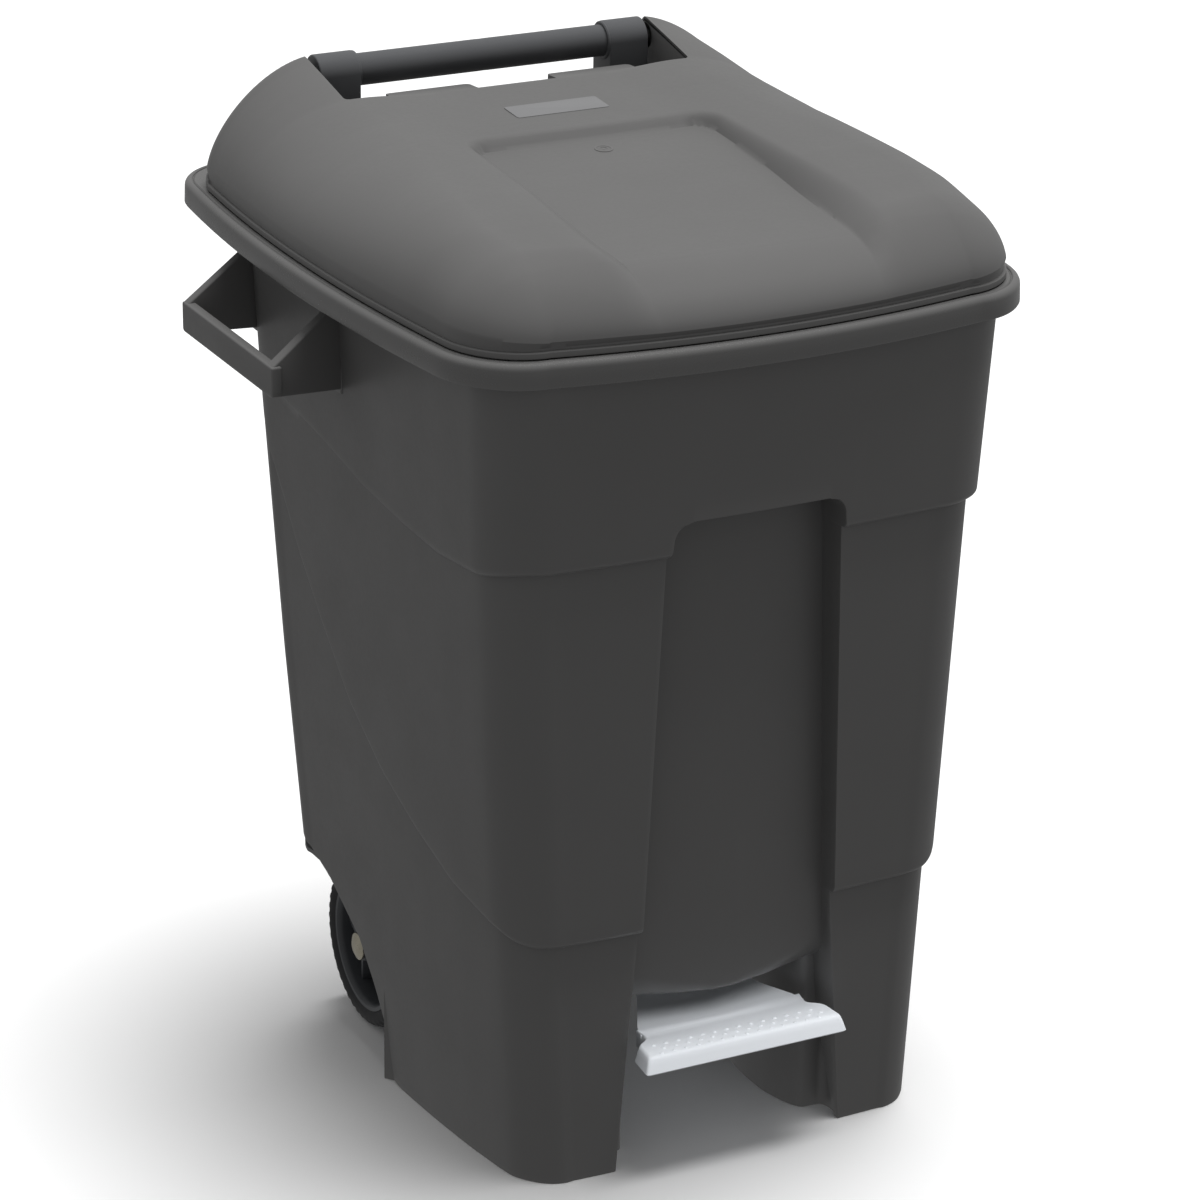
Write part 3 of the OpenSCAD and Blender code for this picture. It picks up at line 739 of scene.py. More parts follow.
def lid_shell():
    """Outer and inner surface of the lid, joined round the lip."""
    outline, outer = lid_surface(0)
    inner = lid_surface(LID_WALL)[1]
    low = lid_low(outline[:, 1])
    # inset and height of each ring of the lip
    lip = ((2.6, 0), (0.5, 0), (-0.1, 0.6), (0.0, 4.2), (0.7, 5.0), (2.0, 5.4), (2.2, 7.0))
    rows = [np.column_stack([ring_inset(outline, inset), low + rise]) for inset, rise in lip] + outer[1:]
    under = [np.column_stack([ring_inset(outline, 2.7), low])] + inner[2:]
    count, base = len(outline), len(outline) * len(rows)
    verts = [tuple(p) for r in rows + under for p in r]
    faces = grid_faces(len(rows), count, close_cols=True)
    faces += [tuple(base + i for i in f) for f in grid_faces(len(under), count, close_cols=True, flip=True)]
    faces += [(c, base + c, base + (c + 1) % count, (c + 1) % count) for c in range(count)]
    return mesh_piece("lid_shell", verts, faces, 30)


def cut(obj, cutter):
    """Takes cutter out of obj."""
    mod = obj.modifiers.new("cut", "BOOLEAN")
    mod.operation, mod.solver, mod.object = "DIFFERENCE", "EXACT", cutter
    dg = bpy.context.evaluated_depsgraph_get()
    mesh = bpy.data.meshes.new_from_object(obj.evaluated_get(dg))
    obj.modifiers.clear()
    obj.data = mesh
    bpy.data.objects.remove(cutter)


def lid():
    """Shell with its notch cut out, the walls round the notch, the tabs and the lugs for the lift rod."""
    shell = lid_shell()
    notch = rounded(box(-NOTCH, NOTCH_Y, NOTCH, 320), [5, 5, 1, 1])
    cut(shell, prism("notch_cut", notch, 600, 800, bevel=0))
    front_wall = box(NOTCH_Y - 2.6, 662, NOTCH_Y, 730.5)
    parts = [shell, prism("notch_wall", front_wall, -NOTCH, NOTCH, axis="x", bevel=0)]
    ys = np.linspace(NOTCH_Y - 2.5, 236, 26)
    reach = [max(min(238 - y + STEEP * (238 - max(y, STEEP_Y)), 80), 0.5) for y in ys]
    ear = [(y, lid_spot(NOTCH + 1.5, y, s) - 0.8) for y, s in zip(ys, reach)]
    ear += [(float(y), float(lid_low(np.array(y))) + 0.5) for y in ys[::-1]]
    for side in (1, -1):
        parts.append(prism("ear_wall", ear, *span(side, NOTCH, NOTCH + 3), axis="x", bevel=0.4))
        parts.append(tab(*span(side, 33, 103)))
        parts.append(lug_plate(*span(side, 66, 71)))
        boss = [(side * NOTCH, 6.1), (side * (NOTCH + 5), 6.1), (side * (NOTCH + 5), 10), (side * NOTCH, 10)]
        parts.append(lathe("pin_boss", boss, HINGE, 48))
    parts.append(gate_mark())
    return join("bin_lid", parts, 30)


def lid_spot(x, y, s):
    """Height of the lid's outer surface at one place."""
    return float(lid_height(np.array(x), np.array(y), np.array(s)))


def gate_mark():
    """The moulding's gate mark: a low ring with a small sunk button in the recess."""
    profile = [(0.0, 5.2), (0.35, 5.6), (0.45, 6.3), (0.3, 7.0), (-0.5, 7.2), (-0.5, 0.05), (0.1, 0.05),
               (0.15, 1.3), (-0.2, 1.7), (-0.2, 2.4), (0.25, 2.8), (0.2, 3.5), (-0.05, 4.2)]
    y, slope = -3.0, 0.07
    mark = lathe("gate_mark", profile, (0, 0), 40)
    lay = Matrix.Rotation(math.atan(slope), 4, "X") @ Matrix.Rotation(math.radians(-90), 4, "Y")
    mark.data.transform(Matrix.Translation((0, y * MM, lid_spot(0.0, y, 200.0) * MM + 0.12 * MM)) @ lay)
    return mark


def tab(x0, x1):
    """Tab that carries a lug: a plate with rounded corners that dips a little to the rear."""
    outline = rounded(box(x0, 128, x1, 159.5), [0.1, 0.1, 5, 5])
    plate = prism("tab", outline, 720.5, 731.4, bevel=1.6, segments=3)
    for vertex in plate.data.vertices:
        vertex.co.z -= 0.1 * max(vertex.co.y - 137 * MM, 0) + 0.7 * MM
    return plate


def lug_plate(x0, x1):
    """Plate under a tab with a slot for the hook of the lift rod."""
    sag = LINK_R * (1 - math.cos(LINK_A))
    near, far = (ROD_Y, ROD_TOP), (ROD_Y + sag * math.cos(LINK_A), ROD_TOP + sag * math.sin(LINK_A))
    def arc(centre, radius, start):
        return [(centre[0] + radius * math.cos(t), centre[1] + radius * math.sin(t))
                for t in np.linspace(start, start + math.pi, 14)]
    def capsule(radius):
        return arc(far, radius, LINK_A - math.pi / 2) + arc(near, radius, LINK_A + math.pi / 2)
    outer, inner = capsule(8.4), capsule(5.3)
    n = len(outer)
    verts = [(x, y, z) for x in (x0, x1) for y, z in outer + inner]
    faces = []
    for i in range(n):
        j = (i + 1) % n
        faces += [(i, j, n + j, n + i), (2 * n + i, 3 * n + i, 3 * n + j, 2 * n + j),
                  (i, 2 * n + i, 2 * n + j, j), (n + i, n + j, 3 * n + j, 3 * n + i)]
    ring = mesh_piece("lug_ring", verts, faces, 35)
    outline = [(137, 706), (137, 725), (156.5, 725), (ROD_Y + 2, ROD_TOP + 11.5), (ROD_Y - 6.5, ROD_TOP + 6),
               (ROD_Y - 9, ROD_TOP - 4), (150, 703)]
    arm = prism("lug_arm", outline, x0 + 0.4, x1 - 0.4, axis="x", bevel=0.4)
    return join("lug", [ring, arm], 35)


def label_plate():
    """Blank plate let into the lid."""
    plate = prism("label_insert", rounded(box(-38.2, -12.6, 38.2, 12.6), 2.5), -0.6, 0.5, bevel=0.3)
    slope = math.atan(4.0 / 60)
    plate.data.transform(Matrix.Translation((0, 74.5 * MM, 727.7 * MM)) @ Matrix.Rotation(slope, 4, "X"))
    return plate


# ------------------------------------------------------------------ grips, bar and shoes

def grip():
    """Right-hand lifting grip: a frame of two deep arms and an outer bar, open for the fingers."""
    def arm(y_wall, y_bar, thick, name):
        """An arm: deep at the wall, shallow at the bar."""
        wall_x, bar_x = 203.0, 274.2
        front = [(wall_x, y_wall, 560), (bar_x, y_bar, 569), (bar_x, y_bar, 591.5), (wall_x, y_wall, 636)]
        back = [(x, y + thick, z) for x, y, z in front]
        verts = front + back
        faces = [(0, 1, 2, 3), (7, 6, 5, 4), (0, 4, 5, 1), (1, 5, 6, 2), (2, 6, 7, 3), (3, 7, 4, 0)]
        obj = mesh_piece(name, verts, faces, 30)
        soften(obj, 1.6, 3, 30)
        return obj
    parts = [arm(-3, -22, 10.5, "grip_arm_front"), arm(152, 138, 9.0, "grip_arm_rear")]
    outline = rounded(box(-23, 568.5, 147.5, 592), [5, 4, 2, 2])
    parts.append(prism("grip_bar", outline, 266.5, 274.8, axis="x", bevel=2.0, segments=3))
    parts.append(prism("grip_lip", rounded(box(-14, 568.7, 140, 573), 1.0), 262, 270, axis="x", bevel=1.0))
    # rims of the snap plates where the grip meets the wall
    for y, w, x0, x1 in ((-6.5, 17, 205, 213.6), (149, 15, 204, 212.5)):
        outline = rounded(box(y, 557.5, y + w, 637), 2)
        parts.append(prism("grip_root", outline, x0, x1, axis="x", bevel=1.2))
    return join("grip", parts, 30)


def push_bar():
    """Hollow bar with a faint mould seam."""
    r, end, seam = 12.4, BAR_HALF + 7, 0.12
    profile = [(x, r - seam * math.exp(-((x - 2) / 0.6) ** 2)) for x in np.linspace(-end, end, 60)]
    profile += [(end, r - 2), (-end, r - 2)]
    return lathe("push_bar_tube", profile, HINGE, 96)


def shoe():
    """Right-hand end shoe: a round collar over the bar's end and a leg that goes down over the post."""
    x0, x1, r = BAR_HALF, BAR_HALF + SHOE_W, 15.3
    y, z = HINGE
    arc = [(y + r * math.cos(a), z + r * math.sin(a)) for a in np.linspace(0, math.pi, 33)]
    outline = arc + [(y - r, 690), (y - r + 2, 688.3), (y + r - 2, 688.3), (y + r, 690)]
    shell = prism("shoe", outline, x0 + 0.2, x1 - 0.1, axis="x", bevel=1.6, segments=4)
    profile = [(x0 - 1.2, 12.5), (x0 - 1.2, 14.2), (x0 - 0.4, 15.0), (x0 + 3, 15.2), (x0 + 3, 12.5)]
    return join("shoe", [shell, lathe("shoe_collar", profile, HINGE, 72)], 35)


# ------------------------------------------------------------------ pedal and linkage

PEDAL_TOP = 102.6


def tread():
    """The part under the foot, with chamfered ends and a down-turned edge."""
    half, front, rear = 84.5, -256, -209
    def ring(z, grow):
        """Outline of the tread at one height, drawn in by grow."""
        right = [(half - grow, front + grow), (half - 2.5 - grow, -230.5), (71 - grow, -223), (69, rear)]
        outline = right + [(-x, y) for x, y in right[::-1]]
        return [(x, y, z) for x, y in rounded(outline[-1:] + outline[:-1], [3, 3, 7, 8, 0, 0, 8, 7], 5)]
    levels = ((99.4, 3.4), (90.2, 3.0), (89.4, 2.4), (89.4, 0.8), (90.4, 0), (97, 1.8), (100.4, 3.0),
              (101.9, 4.0), (PEDAL_TOP, 5.6))
    loft = [ring(z, grow) for z, grow in levels]
    n = len(loft[0])
    faces = grid_faces(len(loft), n, close_cols=True) + [tuple(range(n))[::-1], tuple(range(n * 8, n * 9))]
    return mesh_piece("tread", [p for r in loft for p in r], faces, 35)


def neck():
    """A narrowing sheet that runs back from the tread and rises under the floor."""
    rows, cols, thick = [], 13, 3.2
    for y in [-216, -212] + list(np.linspace(-208, -150, 14)):
        w = line(y, (-216, 69), (-205, 66), (-165, 46), (-150, 42))
        z = PEDAL_TOP - 0.6 + 7.5 * smooth(y, -180, -150)
        rows.append([(w * u, y, z - 0.7 * u ** 8) for u in np.linspace(-1, 1, cols)])
    verts = [p for r in rows for p in r]
    under = [(x, y, z - thick) for x, y, z in verts]
    n = len(rows)
    faces = grid_faces(n, cols) + [tuple(i + n * cols for i in f) for f in grid_faces(n, cols, flip=True)]
    edge = list(range(cols)) + [r * cols + cols - 1 for r in range(1, n)]
    edge += [(n - 1) * cols + c for c in range(cols - 2, -1, -1)] + [r * cols for r in range(n - 2, 0, -1)]
    for a, b in zip(edge, edge[1:] + edge[:1]):
        faces.append((a, b, b + n * cols, a + n * cols)[::-1])
    return mesh_piece("neck", verts + under, faces, 35)


def pedal():
    """Tread with rows of pips, ribs under it, a neck, and the arm to the rod."""
    top = PEDAL_TOP
    parts = [tread(), neck()]
    for x in (-34, -17, 0, 17, 34):
        low = 89.8 if abs(x) < 30 else 92
        side = [(-251, top - 1.5), (-251, low + 2), (-214, low), (-150, 98), (-150, 107), (-180, top - 2),
                (-216, top - 2)]
        parts.append(prism("tread_rib", side, x - 1.3, x + 1.3, axis="x", bevel=0.4))
    arm_low, arm_high, arm_half = 92.2, 107.8, 13.8
    outline = rounded([(-154, 93), (-76, 93), (-76, 109), (-154, 110.5)], 3)
    parts.append(prism("arm_front", outline, -26.8, 26.8, axis="x", bevel=1.2))
    boss = [(-26.9, PIN_BORE), (-26.9, 10), (-25.9, 11), (25.9, 11), (26.9, 10), (26.9, PIN_BORE)]
    parts.append(lathe("arm_boss", boss, PEDAL_PIVOT, 64))
    for x in (-arm_half, arm_half - 3):
        web = rounded(box(-84, arm_low, 156, arm_high), 2)
        parts.append(prism("arm_web", web, x, x + 3, axis="x", bevel=0.6))
    parts.append(prism("arm_top", box(-84, 105, 158, 108), -13.6, 13.6, axis="x", bevel=0.6))
    ends = [box(150, arm_low, ROD_Y - 4.2, arm_high), box(ROD_Y + 12.2, arm_low, ROD_Y + 15.8, arm_high),
            box(ROD_Y - 5, arm_low, ROD_Y + 13, 95.8), box(ROD_Y - 5, 104.2, ROD_Y + 13, arm_high)]
    for end in ends:
        parts.append(prism("arm_end", end, -arm_half, arm_half, axis="x", bevel=0.5))
    parts += pips(top)
    return join("pedal_moulding", parts, 35)


def circle(n):
    """Angles of n even steps round a circle."""
    return np.linspace(0, 2 * math.pi, n, endpoint=False)


def pips(top):
    """Low domes in staggered rows over the tread."""
    parts = []
    pitch, r, h, n = 10.2, 1.9, 0.9, 12
    places = [(-69 + pitch * (k + (row % 2) / 2), y) for row, y in enumerate((-249.0, -242.5, -236.0))
              for k in range(14)]
    for x, y in [(x, y) for x, y in places if abs(x) <= 71]:
        verts = [(x + r * math.cos(level) * math.cos(a), y + r * 0.8 * math.cos(level) * math.sin(a),
                  top - 0.1 + h * math.sin(level)) for level in np.radians([0, 35, 65]) for a in circle(n)]
        faces = grid_faces(3, n, close_cols=True)
        faces += [(2 * n + i, 2 * n + (i + 1) % n, 3 * n) for i in range(n)]
        faces.append(tuple(range(n))[::-1])
        parts.append(mesh_piece("pip", verts + [(x, y, top + h)], faces, 80))
    return parts


def tube_path(name, points, radius, segments=20, sharp=60):
    """A round rod along a list of points."""
    pts = np.array(points, float)
    tang = np.gradient(pts, axis=0)
    tang /= np.linalg.norm(tang, axis=1)[:, None]
    verts, ref = [], np.array([0.0, 1.0, 0.0])
    for p, t in zip(pts, tang):
        u = np.cross(t, ref)
        u /= np.linalg.norm(u)
        v = np.cross(t, u)
        verts += [tuple(p + radius * (u * math.cos(a) + v * math.sin(a))) for a in circle(segments)]
    faces = grid_faces(len(pts), segments, close_cols=True)
    faces += [tuple(range(segments))[::-1], tuple(range((len(pts) - 1) * segments, len(pts) * segments))]
    return mesh_piece(name, verts, faces, sharp)


def lift_rod():
    """Bent steel rod: foot through the pedal's arm, two uprights and a hook at each top."""
    foot_z, bend_r, hook_r, hook_end = 100, 6.0, 3, 78.5
    quarter = np.linspace(0, math.pi / 2, 8)
    half = [(0, ROD_Y, foot_z)]
    half += [(ROD_X - bend_r * (1 - math.sin(a)), ROD_Y, foot_z + bend_r * (1 - math.cos(a)))
             for a in quarter]
    half += [(ROD_X, ROD_Y, 300), (ROD_X, ROD_Y, 500)]
    half += [(ROD_X + hook_r * (1 - math.cos(a)), ROD_Y, ROD_TOP - hook_r * (1 - math.sin(a)))
             for a in quarter]
    half += [(hook_end, ROD_Y, ROD_TOP)]
    return tube_path("lift_rod_wire", [(-x, y, z) for x, y, z in half[:0:-1]] + half, 2.95)


# ------------------------------------------------------------------ wheels

def tyre():
    """Right-hand tyre with a ribbed tread across its face and a rounded shoulder."""
    x0, x1, ribs = WHEEL_OUT - WHEEL_W, WHEEL_OUT, 44
    segments = ribs * 6
    section = [(x0 + 2.5, 53.2), (x0 + 0.3, 56), (x0, 60), (x0 + 0.8, 62.8), (x0 + 3, 65), (x0 + 6.5, 66.2),
               (x0 + 12, 66.6)]
    mirror = [(x0 + x1 - x, r) for x, r in section[::-1]]
    profile = section + [((x0 + x1) / 2, 66.7)] + mirror
    verts = []
    for k in range(segments):
        a = 2 * math.pi * k / segments
        groove = 1.5 if k % 6 in (2, 3, 4) else 0.0
        for x, r in profile:
            cut_r = r - groove * smooth(r, 59.5, 64.5)
            verts.append((x, AXLE[0] + cut_r * math.cos(a), AXLE[1] + cut_r * math.sin(a)))
    return mesh_piece("tyre", verts, grid_faces(segments, len(profile), close_cols=True, close_rows=True), 38)


def wheel_hub():
    """Right-hand wheel centre: a barrel, a dished web with spokes, and the boss on the axle."""
    x0, x1 = WHEEL_OUT - WHEEL_W, WHEEL_OUT
    barrel = [(x0 + 3, 53), (x0 + 3, 50), (x0 + 5, 49), (x1 - 7, 47.6),
              (x1 - 3.5, 48.6), (x1 - 2, 50), (x1 - 2, 53)]
    web_x = x0 + 16
    web = [(web_x, 12), (web_x, 49.5), (web_x + 4, 49.5), (web_x + 5, 30), (web_x + 7, 14), (web_x + 7, 12)]
    boss = [(x0 - 2.3, AXLE_BORE), (x0 - 2.3, 13), (x0 - 1, 14), (x1 - 2.5, 12.6), (x1 - 0.4, 11.6),
            (x1 - 0.2, 10.5), (x1 - 0.2, AXLE_BORE)]
    parts = [lathe("hub_barrel", barrel, AXLE), lathe("hub_web", web, AXLE),
             lathe("hub_boss", boss, AXLE, 64)]
    outline = [(12, web_x - x0 + 2), (48.5, web_x - x0 + 2), (48.5, WHEEL_W - 12), (12, WHEEL_W - 4)]
    for k in range(6):
        spoke = prism("spoke", rounded(outline, 1), -1.8, 1.8, bevel=0.5)
        spoke.data.transform(Matrix(((0, 1, 0, x0 * MM), (1, 0, 0, 0), (0, 0, 1, 0), (0, 0, 0, 1))))
        spoke.data.transform(Matrix.Rotation(k * math.pi / 3, 4, "X"))
        spoke.data.transform(Matrix.Translation((0, AXLE[0] * MM, AXLE[1] * MM)))
        parts.append(spoke)
    return join("wheel_hub", parts, 35)


def axle_cap():
    """Domed push nut on the end of the axle."""
    x = WHEEL_OUT
    profile = [(x + 1.0, AXLE_BORE), (x + 1.0, 10.6), (x + 1.5, 11), (x + 2.6, 10.8), (x + 3.2, 9),
               (x + 4.2, 7.6), (x + 4.9, 5), (x + 5, 0.05), (x + 3.2, 0.05), (x + 3.2, AXLE_BORE)]
    return lathe("axle_cap", profile, AXLE, 64)


# ------------------------------------------------------------------ materials

class Nodes:
    """A small helper to build one material's node tree."""

    def __init__(self, name):
        self.material = bpy.data.materials.new(name)
        self.material.use_nodes = True
        self.tree = self.material.node_tree
        self.tree.nodes.clear()
        self.out = self.tree.nodes.new("ShaderNodeOutputMaterial")
        self.shader = self.tree.nodes.new("ShaderNodeBsdfPrincipled")
        self.tree.links.new(self.shader.outputs[0], self.out.inputs[0])
        self.place = self.tree.nodes.new("ShaderNodeTexCoord").outputs["Object"]

    def add(self, kind, **inputs):
        node = self.tree.nodes.new(kind)
        for key, value in inputs.items():
            self.put(node, key.replace("_", " "), value)
        return node

    def put(self, node, key, value):
        """Links or sets one input, given by its name or number."""
        socket = node.inputs[key]
        if isinstance(value, bpy.types.NodeSocket):
            self.tree.links.new(value, socket)
        else:
            socket.default_value = value

    def noise(self, scale, detail=4.0, rough=0.55, stretch=None):
        place = self.place
        if stretch:
            node = self.tree.nodes.new("ShaderNodeMapping")
            self.tree.links.new(place, node.inputs["Vector"])
            node.inputs["Scale"].default_value = stretch
            place = node.outputs[0]
        return self.add("ShaderNodeTexNoise", Vector=place, Scale=scale, Detail=detail,
                        Roughness=rough).outputs[0]

    def remap(self, value, low, high, to_low, to_high):
        node = self.tree.nodes.new("ShaderNodeMapRange")
        for i, v in enumerate((value, low, high, to_low, to_high)):
            self.put(node, i, v)
        return node.outputs[0]

    def mix(self, factor, a, b):
        node = self.tree.nodes.new("ShaderNodeMix")
        node.data_type = "RGBA"
        for i, v in ((0, factor), (6, a), (7, b)):
            self.put(node, i, v)
        return node.outputs[2]

    def maths(self, operation, a, b):
        node = self.tree.nodes.new("ShaderNodeMath")
        node.operation = operation
        for i, v in enumerate((a, b)):
            self.put(node, i, v)
        return node.outputs[0]

    def bump(self, height, strength, distance, below=None):
        node = self.add("ShaderNodeBump", Height=height, Strength=strength, Distance=distance)
        if below is not None:
            self.tree.links.new(below, node.inputs["Normal"])
        return node.outputs[0]

    def wear(self, radius):
        """1 along exposed edges, 0 on flat faces."""
        point = self.tree.nodes.new("ShaderNodeNewGeometry").outputs["Pointiness"]
        return self.remap(point, 0.505, 0.505 + radius, 0.0, 1.0)


def linear(*srgb):
    """Colour from 0-255 screen values, all above 10."""
    return tuple(((c / 255 + 0.055) / 1.055) ** 2.4 for c in srgb) + (1.0,)


def shade(colour, factor):
    """The colour made lighter or darker."""
    return tuple(min(c * factor, 1) for c in colour[:3]) + (1.0,)


def plastic(name, colour, rough, flow=0.02, edge=1.18, gloss=0.5, scuffs=0.25):
    """Moulded plastic: fine spark-eroded grain, soft flow marks, rubbed edges and faint scuffs."""
    m = Nodes(name)
    base = linear(*colour)
    light, dark = shade(base, edge), shade(base, 1 - flow * 2)
    cloud = m.noise(6.0, 3.0, 0.5)
    tint = m.mix(m.remap(cloud, 0.35, 0.65, 0.0, 1.0), dark, base)
    streaks = m.noise(42.0, 3.0, 0.6, (1.0, 1.0, 0.22))
    tint = m.mix(m.remap(streaks, 0.62, 0.8, 0.0, 0.12), tint, light)
    colour_out = m.mix(m.maths("MULTIPLY", m.wear(0.05), 0.5), tint, light)
    m.put(m.shader, "Base Color", colour_out)
    patches = m.noise(18.0, 4.0, 0.6)
    fine = m.noise(260.0, 2.0, 0.5)
    scratch = m.noise(95.0, 5.0, 0.7, (1.0, 0.12, 0.35))
    roughness = m.remap(patches, 0.3, 0.7, rough - 0.045, rough + 0.045)
    roughness = m.maths("ADD", roughness, m.remap(fine, 0.3, 0.7, -0.02, 0.02))
    roughness = m.maths("ADD", roughness, m.maths("MULTIPLY", m.remap(scratch, 0.66, 0.78, 0.0, 0.2), scuffs))
    m.put(m.shader, "Roughness", roughness)
    m.put(m.shader, "IOR", 1.5)
    m.put(m.shader, "Specular IOR Level", gloss)
    pebble = m.add("ShaderNodeTexVoronoi", Vector=m.place, Scale=600.0).outputs["Distance"]
    grain = m.maths("ADD", m.noise(1500.0, 2.0, 0.5), m.maths("MULTIPLY", pebble, 0.6))
    wave = m.bump(m.noise(9.0, 1.0, 0.4), 0.25, 0.8 * MM)
    m.put(m.shader, "Normal", m.bump(grain, 0.5, 0.06 * MM, wave))
    return m.material


def metal(name, colour, rough):
    """Turned or drawn metal with fine machining lines and faint tarnish."""
    m = Nodes(name)
    base = linear(*colour)
    tarnish = m.remap(m.noise(55.0, 5.0, 0.65), 0.42, 0.72, 0.0, 0.7)
    m.put(m.shader, "Base Color", m.mix(tarnish, base, shade(base, 0.62)))
    m.put(m.shader, "Metallic", 1.0)
    m.put(m.shader, "Roughness", m.remap(m.noise(140.0, 4.0, 0.6), 0.3, 0.7, rough - 0.08, rough + 0.1))
    lines = m.noise(900.0, 2.0, 0.5, (0.08, 1.0, 1.0))
    m.put(m.shader, "Normal", m.bump(lines, 0.3, 0.08 * MM))
    return m.material


def rubber(name, colour):
    """Matt black tread with a dusty bloom and fine pitting."""
    m = Nodes(name)
    base = linear(*colour)
    bloom = m.remap(m.noise(70.0, 5.0, 0.65), 0.45, 0.75, 0.0, 0.45)
    m.put(m.shader, "Base Color", m.mix(bloom, base, shade(base, 1.7)))
    m.put(m.shader, "Roughness", m.remap(m.noise(30.0, 4.0, 0.6), 0.3, 0.7, 0.62, 0.82))
    m.put(m.shader, "Specular IOR Level", 0.35)
    m.put(m.shader, "Normal", m.bump(m.noise(1300.0, 3.0, 0.6), 0.5, 0.12 * MM))
    return m.material


BODY = plastic("grey_body_plastic", (98, 97.5, 97), 0.4, scuffs=0.3, gloss=0.45)
RIM = plastic("grey_rim_plastic", (98, 97.5, 97), 0.26, scuffs=0.3)
LID = plastic("grey_lid_plastic", (103, 102.5, 102), 0.36, scuffs=0.2)
BLACK = plastic("black_plastic", (88, 89, 91), 0.4, scuffs=0.3)
PEDAL = plastic("pale_pedal_plastic", (236, 240, 245), 0.42, edge=1.04, flow=0.015, scuffs=0.4)
LABEL = plastic("label_plate_plastic", (124, 124, 125), 0.42, edge=1.08)
HUB = plastic("hub_plastic", (68, 70, 73), 0.42)
TYRE = rubber("tyre_rubber", (48, 48, 49))
STEEL = metal("drawn_steel", (176, 176, 178), 0.32)
ZINC = metal("zinc_plate", (196, 190, 172), 0.3)


def finish(obj, material):
    """Gives a piece its material and keeps which faces are in which slot."""
    kept = [face.material_index for face in obj.data.polygons]
    obj.data.materials.clear()
    obj.data.materials.append(material)
    obj.data.polygons.foreach_set("material_index", kept)


# ------------------------------------------------------------------ building the pieces

def place(obj, node, body_name, material, slot_name):
    """Puts a visual piece in place of a CAD node."""
    finish(obj, material)
    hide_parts(node)
    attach(obj, body_name)


bin_body = body()
place(bin_body, "body", "tub", BODY, "body_plastic")
bin_body.data.materials.append(RIM)
place(lid(), "lid", "lid", LID, "lid_plastic")
place(label_plate(), "label_plate", "lid", LABEL, "label_plastic")
place(push_bar(), "push_bar", "tub", BLACK, "black_plastic")
bin_pedal = pedal()
place(bin_pedal, "pedal", "pedal", PEDAL, "pedal_plastic")
place(lift_rod(), "lift_rod", "lift_rod", STEEL, "steel")

# pieces made for the right side and mirrored to the left: node, copy's name, body, material, slot
for piece, node, copy_name, body_name, material, slot_name in (
        (grip(), "grip", "grip_l", "tub", BODY, "body_plastic"),
        (shoe(), "bar_shoe", "shoe_l", "tub", BLACK, "black_plastic"),
        (tyre(), "tyre", "tyre_l", "wheel", TYRE, "tyre_rubber"),
        (wheel_hub(), "wheel_hub", "hub_l", "wheel", HUB, "hub_plastic"),
        (axle_cap(), "axle_cap", "cap_l", "tub", ZINC, "zinc")):
    for side, obj in (("left", mirrored(piece, copy_name)), ("right", piece)):
        rides = side + "_wheel" if body_name == "wheel" else body_name
        place(obj, node + "_" + side, rides, material, slot_name)

# small fastenings keep the CAD's own mesh
for node, material in (("hinge_pin_left", STEEL), ("hinge_pin_right", STEEL), ("pedal_pin", STEEL),
                       ("pedal_pin_clips", ZINC), ("rod_guides", BLACK), ("rod_end_clips", ZINC),
                       ("axle", STEEL), ("wheel_washers", ZINC)):
    finish(bpy.data.objects[node], material)

# ------------------------------------------------------------------ camera, floor and light

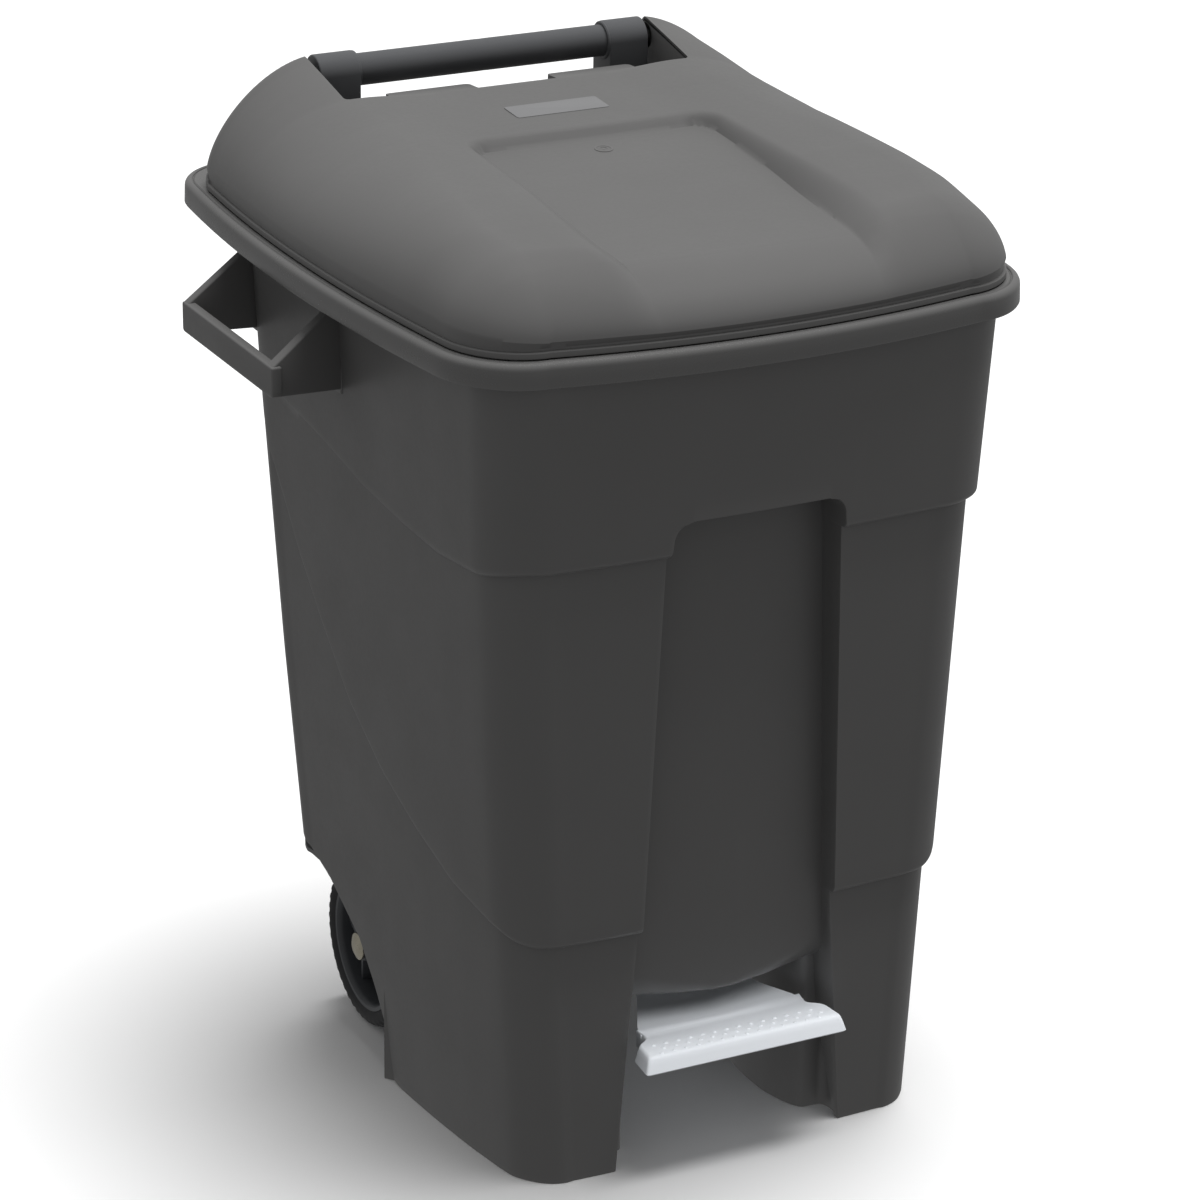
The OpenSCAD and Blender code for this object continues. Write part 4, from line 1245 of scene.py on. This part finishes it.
EYE = Vector((-1.4535, -2.8268, 1.6421))
YAW, PITCH, ROLL = math.radians(27.06), math.radians(22.03), math.radians(0.69)
forward = Vector((math.sin(YAW) * math.cos(PITCH), math.cos(YAW) * math.cos(PITCH), -math.sin(PITCH)))
level = Vector((math.cos(YAW), -math.sin(YAW), 0))
upright = level.cross(forward)
right = level * math.cos(ROLL) + upright * math.sin(ROLL)
up = upright * math.cos(ROLL) - level * math.sin(ROLL)
camera_data = bpy.data.cameras.new("camera")
camera = bpy.data.objects.new("camera", camera_data)
bpy.context.scene.collection.objects.link(camera)
camera.matrix_world = Matrix((
    (right.x, up.x, -forward.x, EYE.x),
    (right.y, up.y, -forward.y, EYE.y),
    (right.z, up.z, -forward.z, EYE.z),
    (0, 0, 0, 1)))
camera_data.lens = 134.58
camera_data.sensor_width = 36
camera_data.shift_x = 0.0126
camera_data.shift_y = 0.0019
camera_data.clip_end = 50
bpy.context.scene.camera = camera

floor_mesh = bpy.data.meshes.new("floor")
floor_mesh.from_pydata([(x, y, -0.4 * MM) for x, y in box(-12, -12, 12, 12)], [], [(0, 1, 2, 3)])
floor = bpy.data.objects.new("floor", floor_mesh)
bpy.context.scene.collection.objects.link(floor)
paper = Nodes("pale_floor")
paper.put(paper.shader, "Base Color", (0.9, 0.9, 0.9, 1))
paper.put(paper.shader, "Roughness", 0.6)
paper.put(paper.shader, "Specular IOR Level", 0.1)
finish(floor, paper.material)
# the floor casts no light back on the bin and isn't mirrored in it
floor.visible_diffuse = False
floor.visible_glossy = False


def soft_light(name, kind, power, direction, spot=(0, 0, 0)):
    """A light that shines along a direction and isn't mirrored in the plastic."""
    data = bpy.data.lights.new(name, kind)
    data.energy = power
    light = bpy.data.objects.new(name, data)
    light.location = spot
    light.rotation_euler = Vector(direction).to_track_quat("-Z", "Y").to_euler()
    light.visible_glossy = False
    bpy.context.scene.collection.objects.link(light)
    return light


soft_light("sky_soft", "SUN", 3.6, (-0.2, -0.08, -1.0)).data.angle = math.radians(38)
soft_light("left_soft", "AREA", 4, (3.2, -0.9, -1.3), (-3.2, 0.9, 1.7)).data.size = 2.2
tread_fill = soft_light("tread_fill", "AREA", 14, (-0.2, 1.06, -1.4), (0.2, -1.3, 1.5))
tread_fill.data.size = 0.8
# this one falls on the pedal alone, which came out too dark without it
lit = bpy.data.collections.new("lit_by_tread_fill")
lit.objects.link(bin_pedal)
tread_fill.light_linking.receiver_collection = lit

world = bpy.data.worlds.new("studio")
world.use_nodes = True
background = world.node_tree.nodes["Background"]
background.inputs["Color"].default_value = (1, 1, 1, 1)
background.inputs["Strength"].default_value = 0.3
bpy.context.scene.world = world
bpy.context.scene.view_settings.view_transform = "Standard"
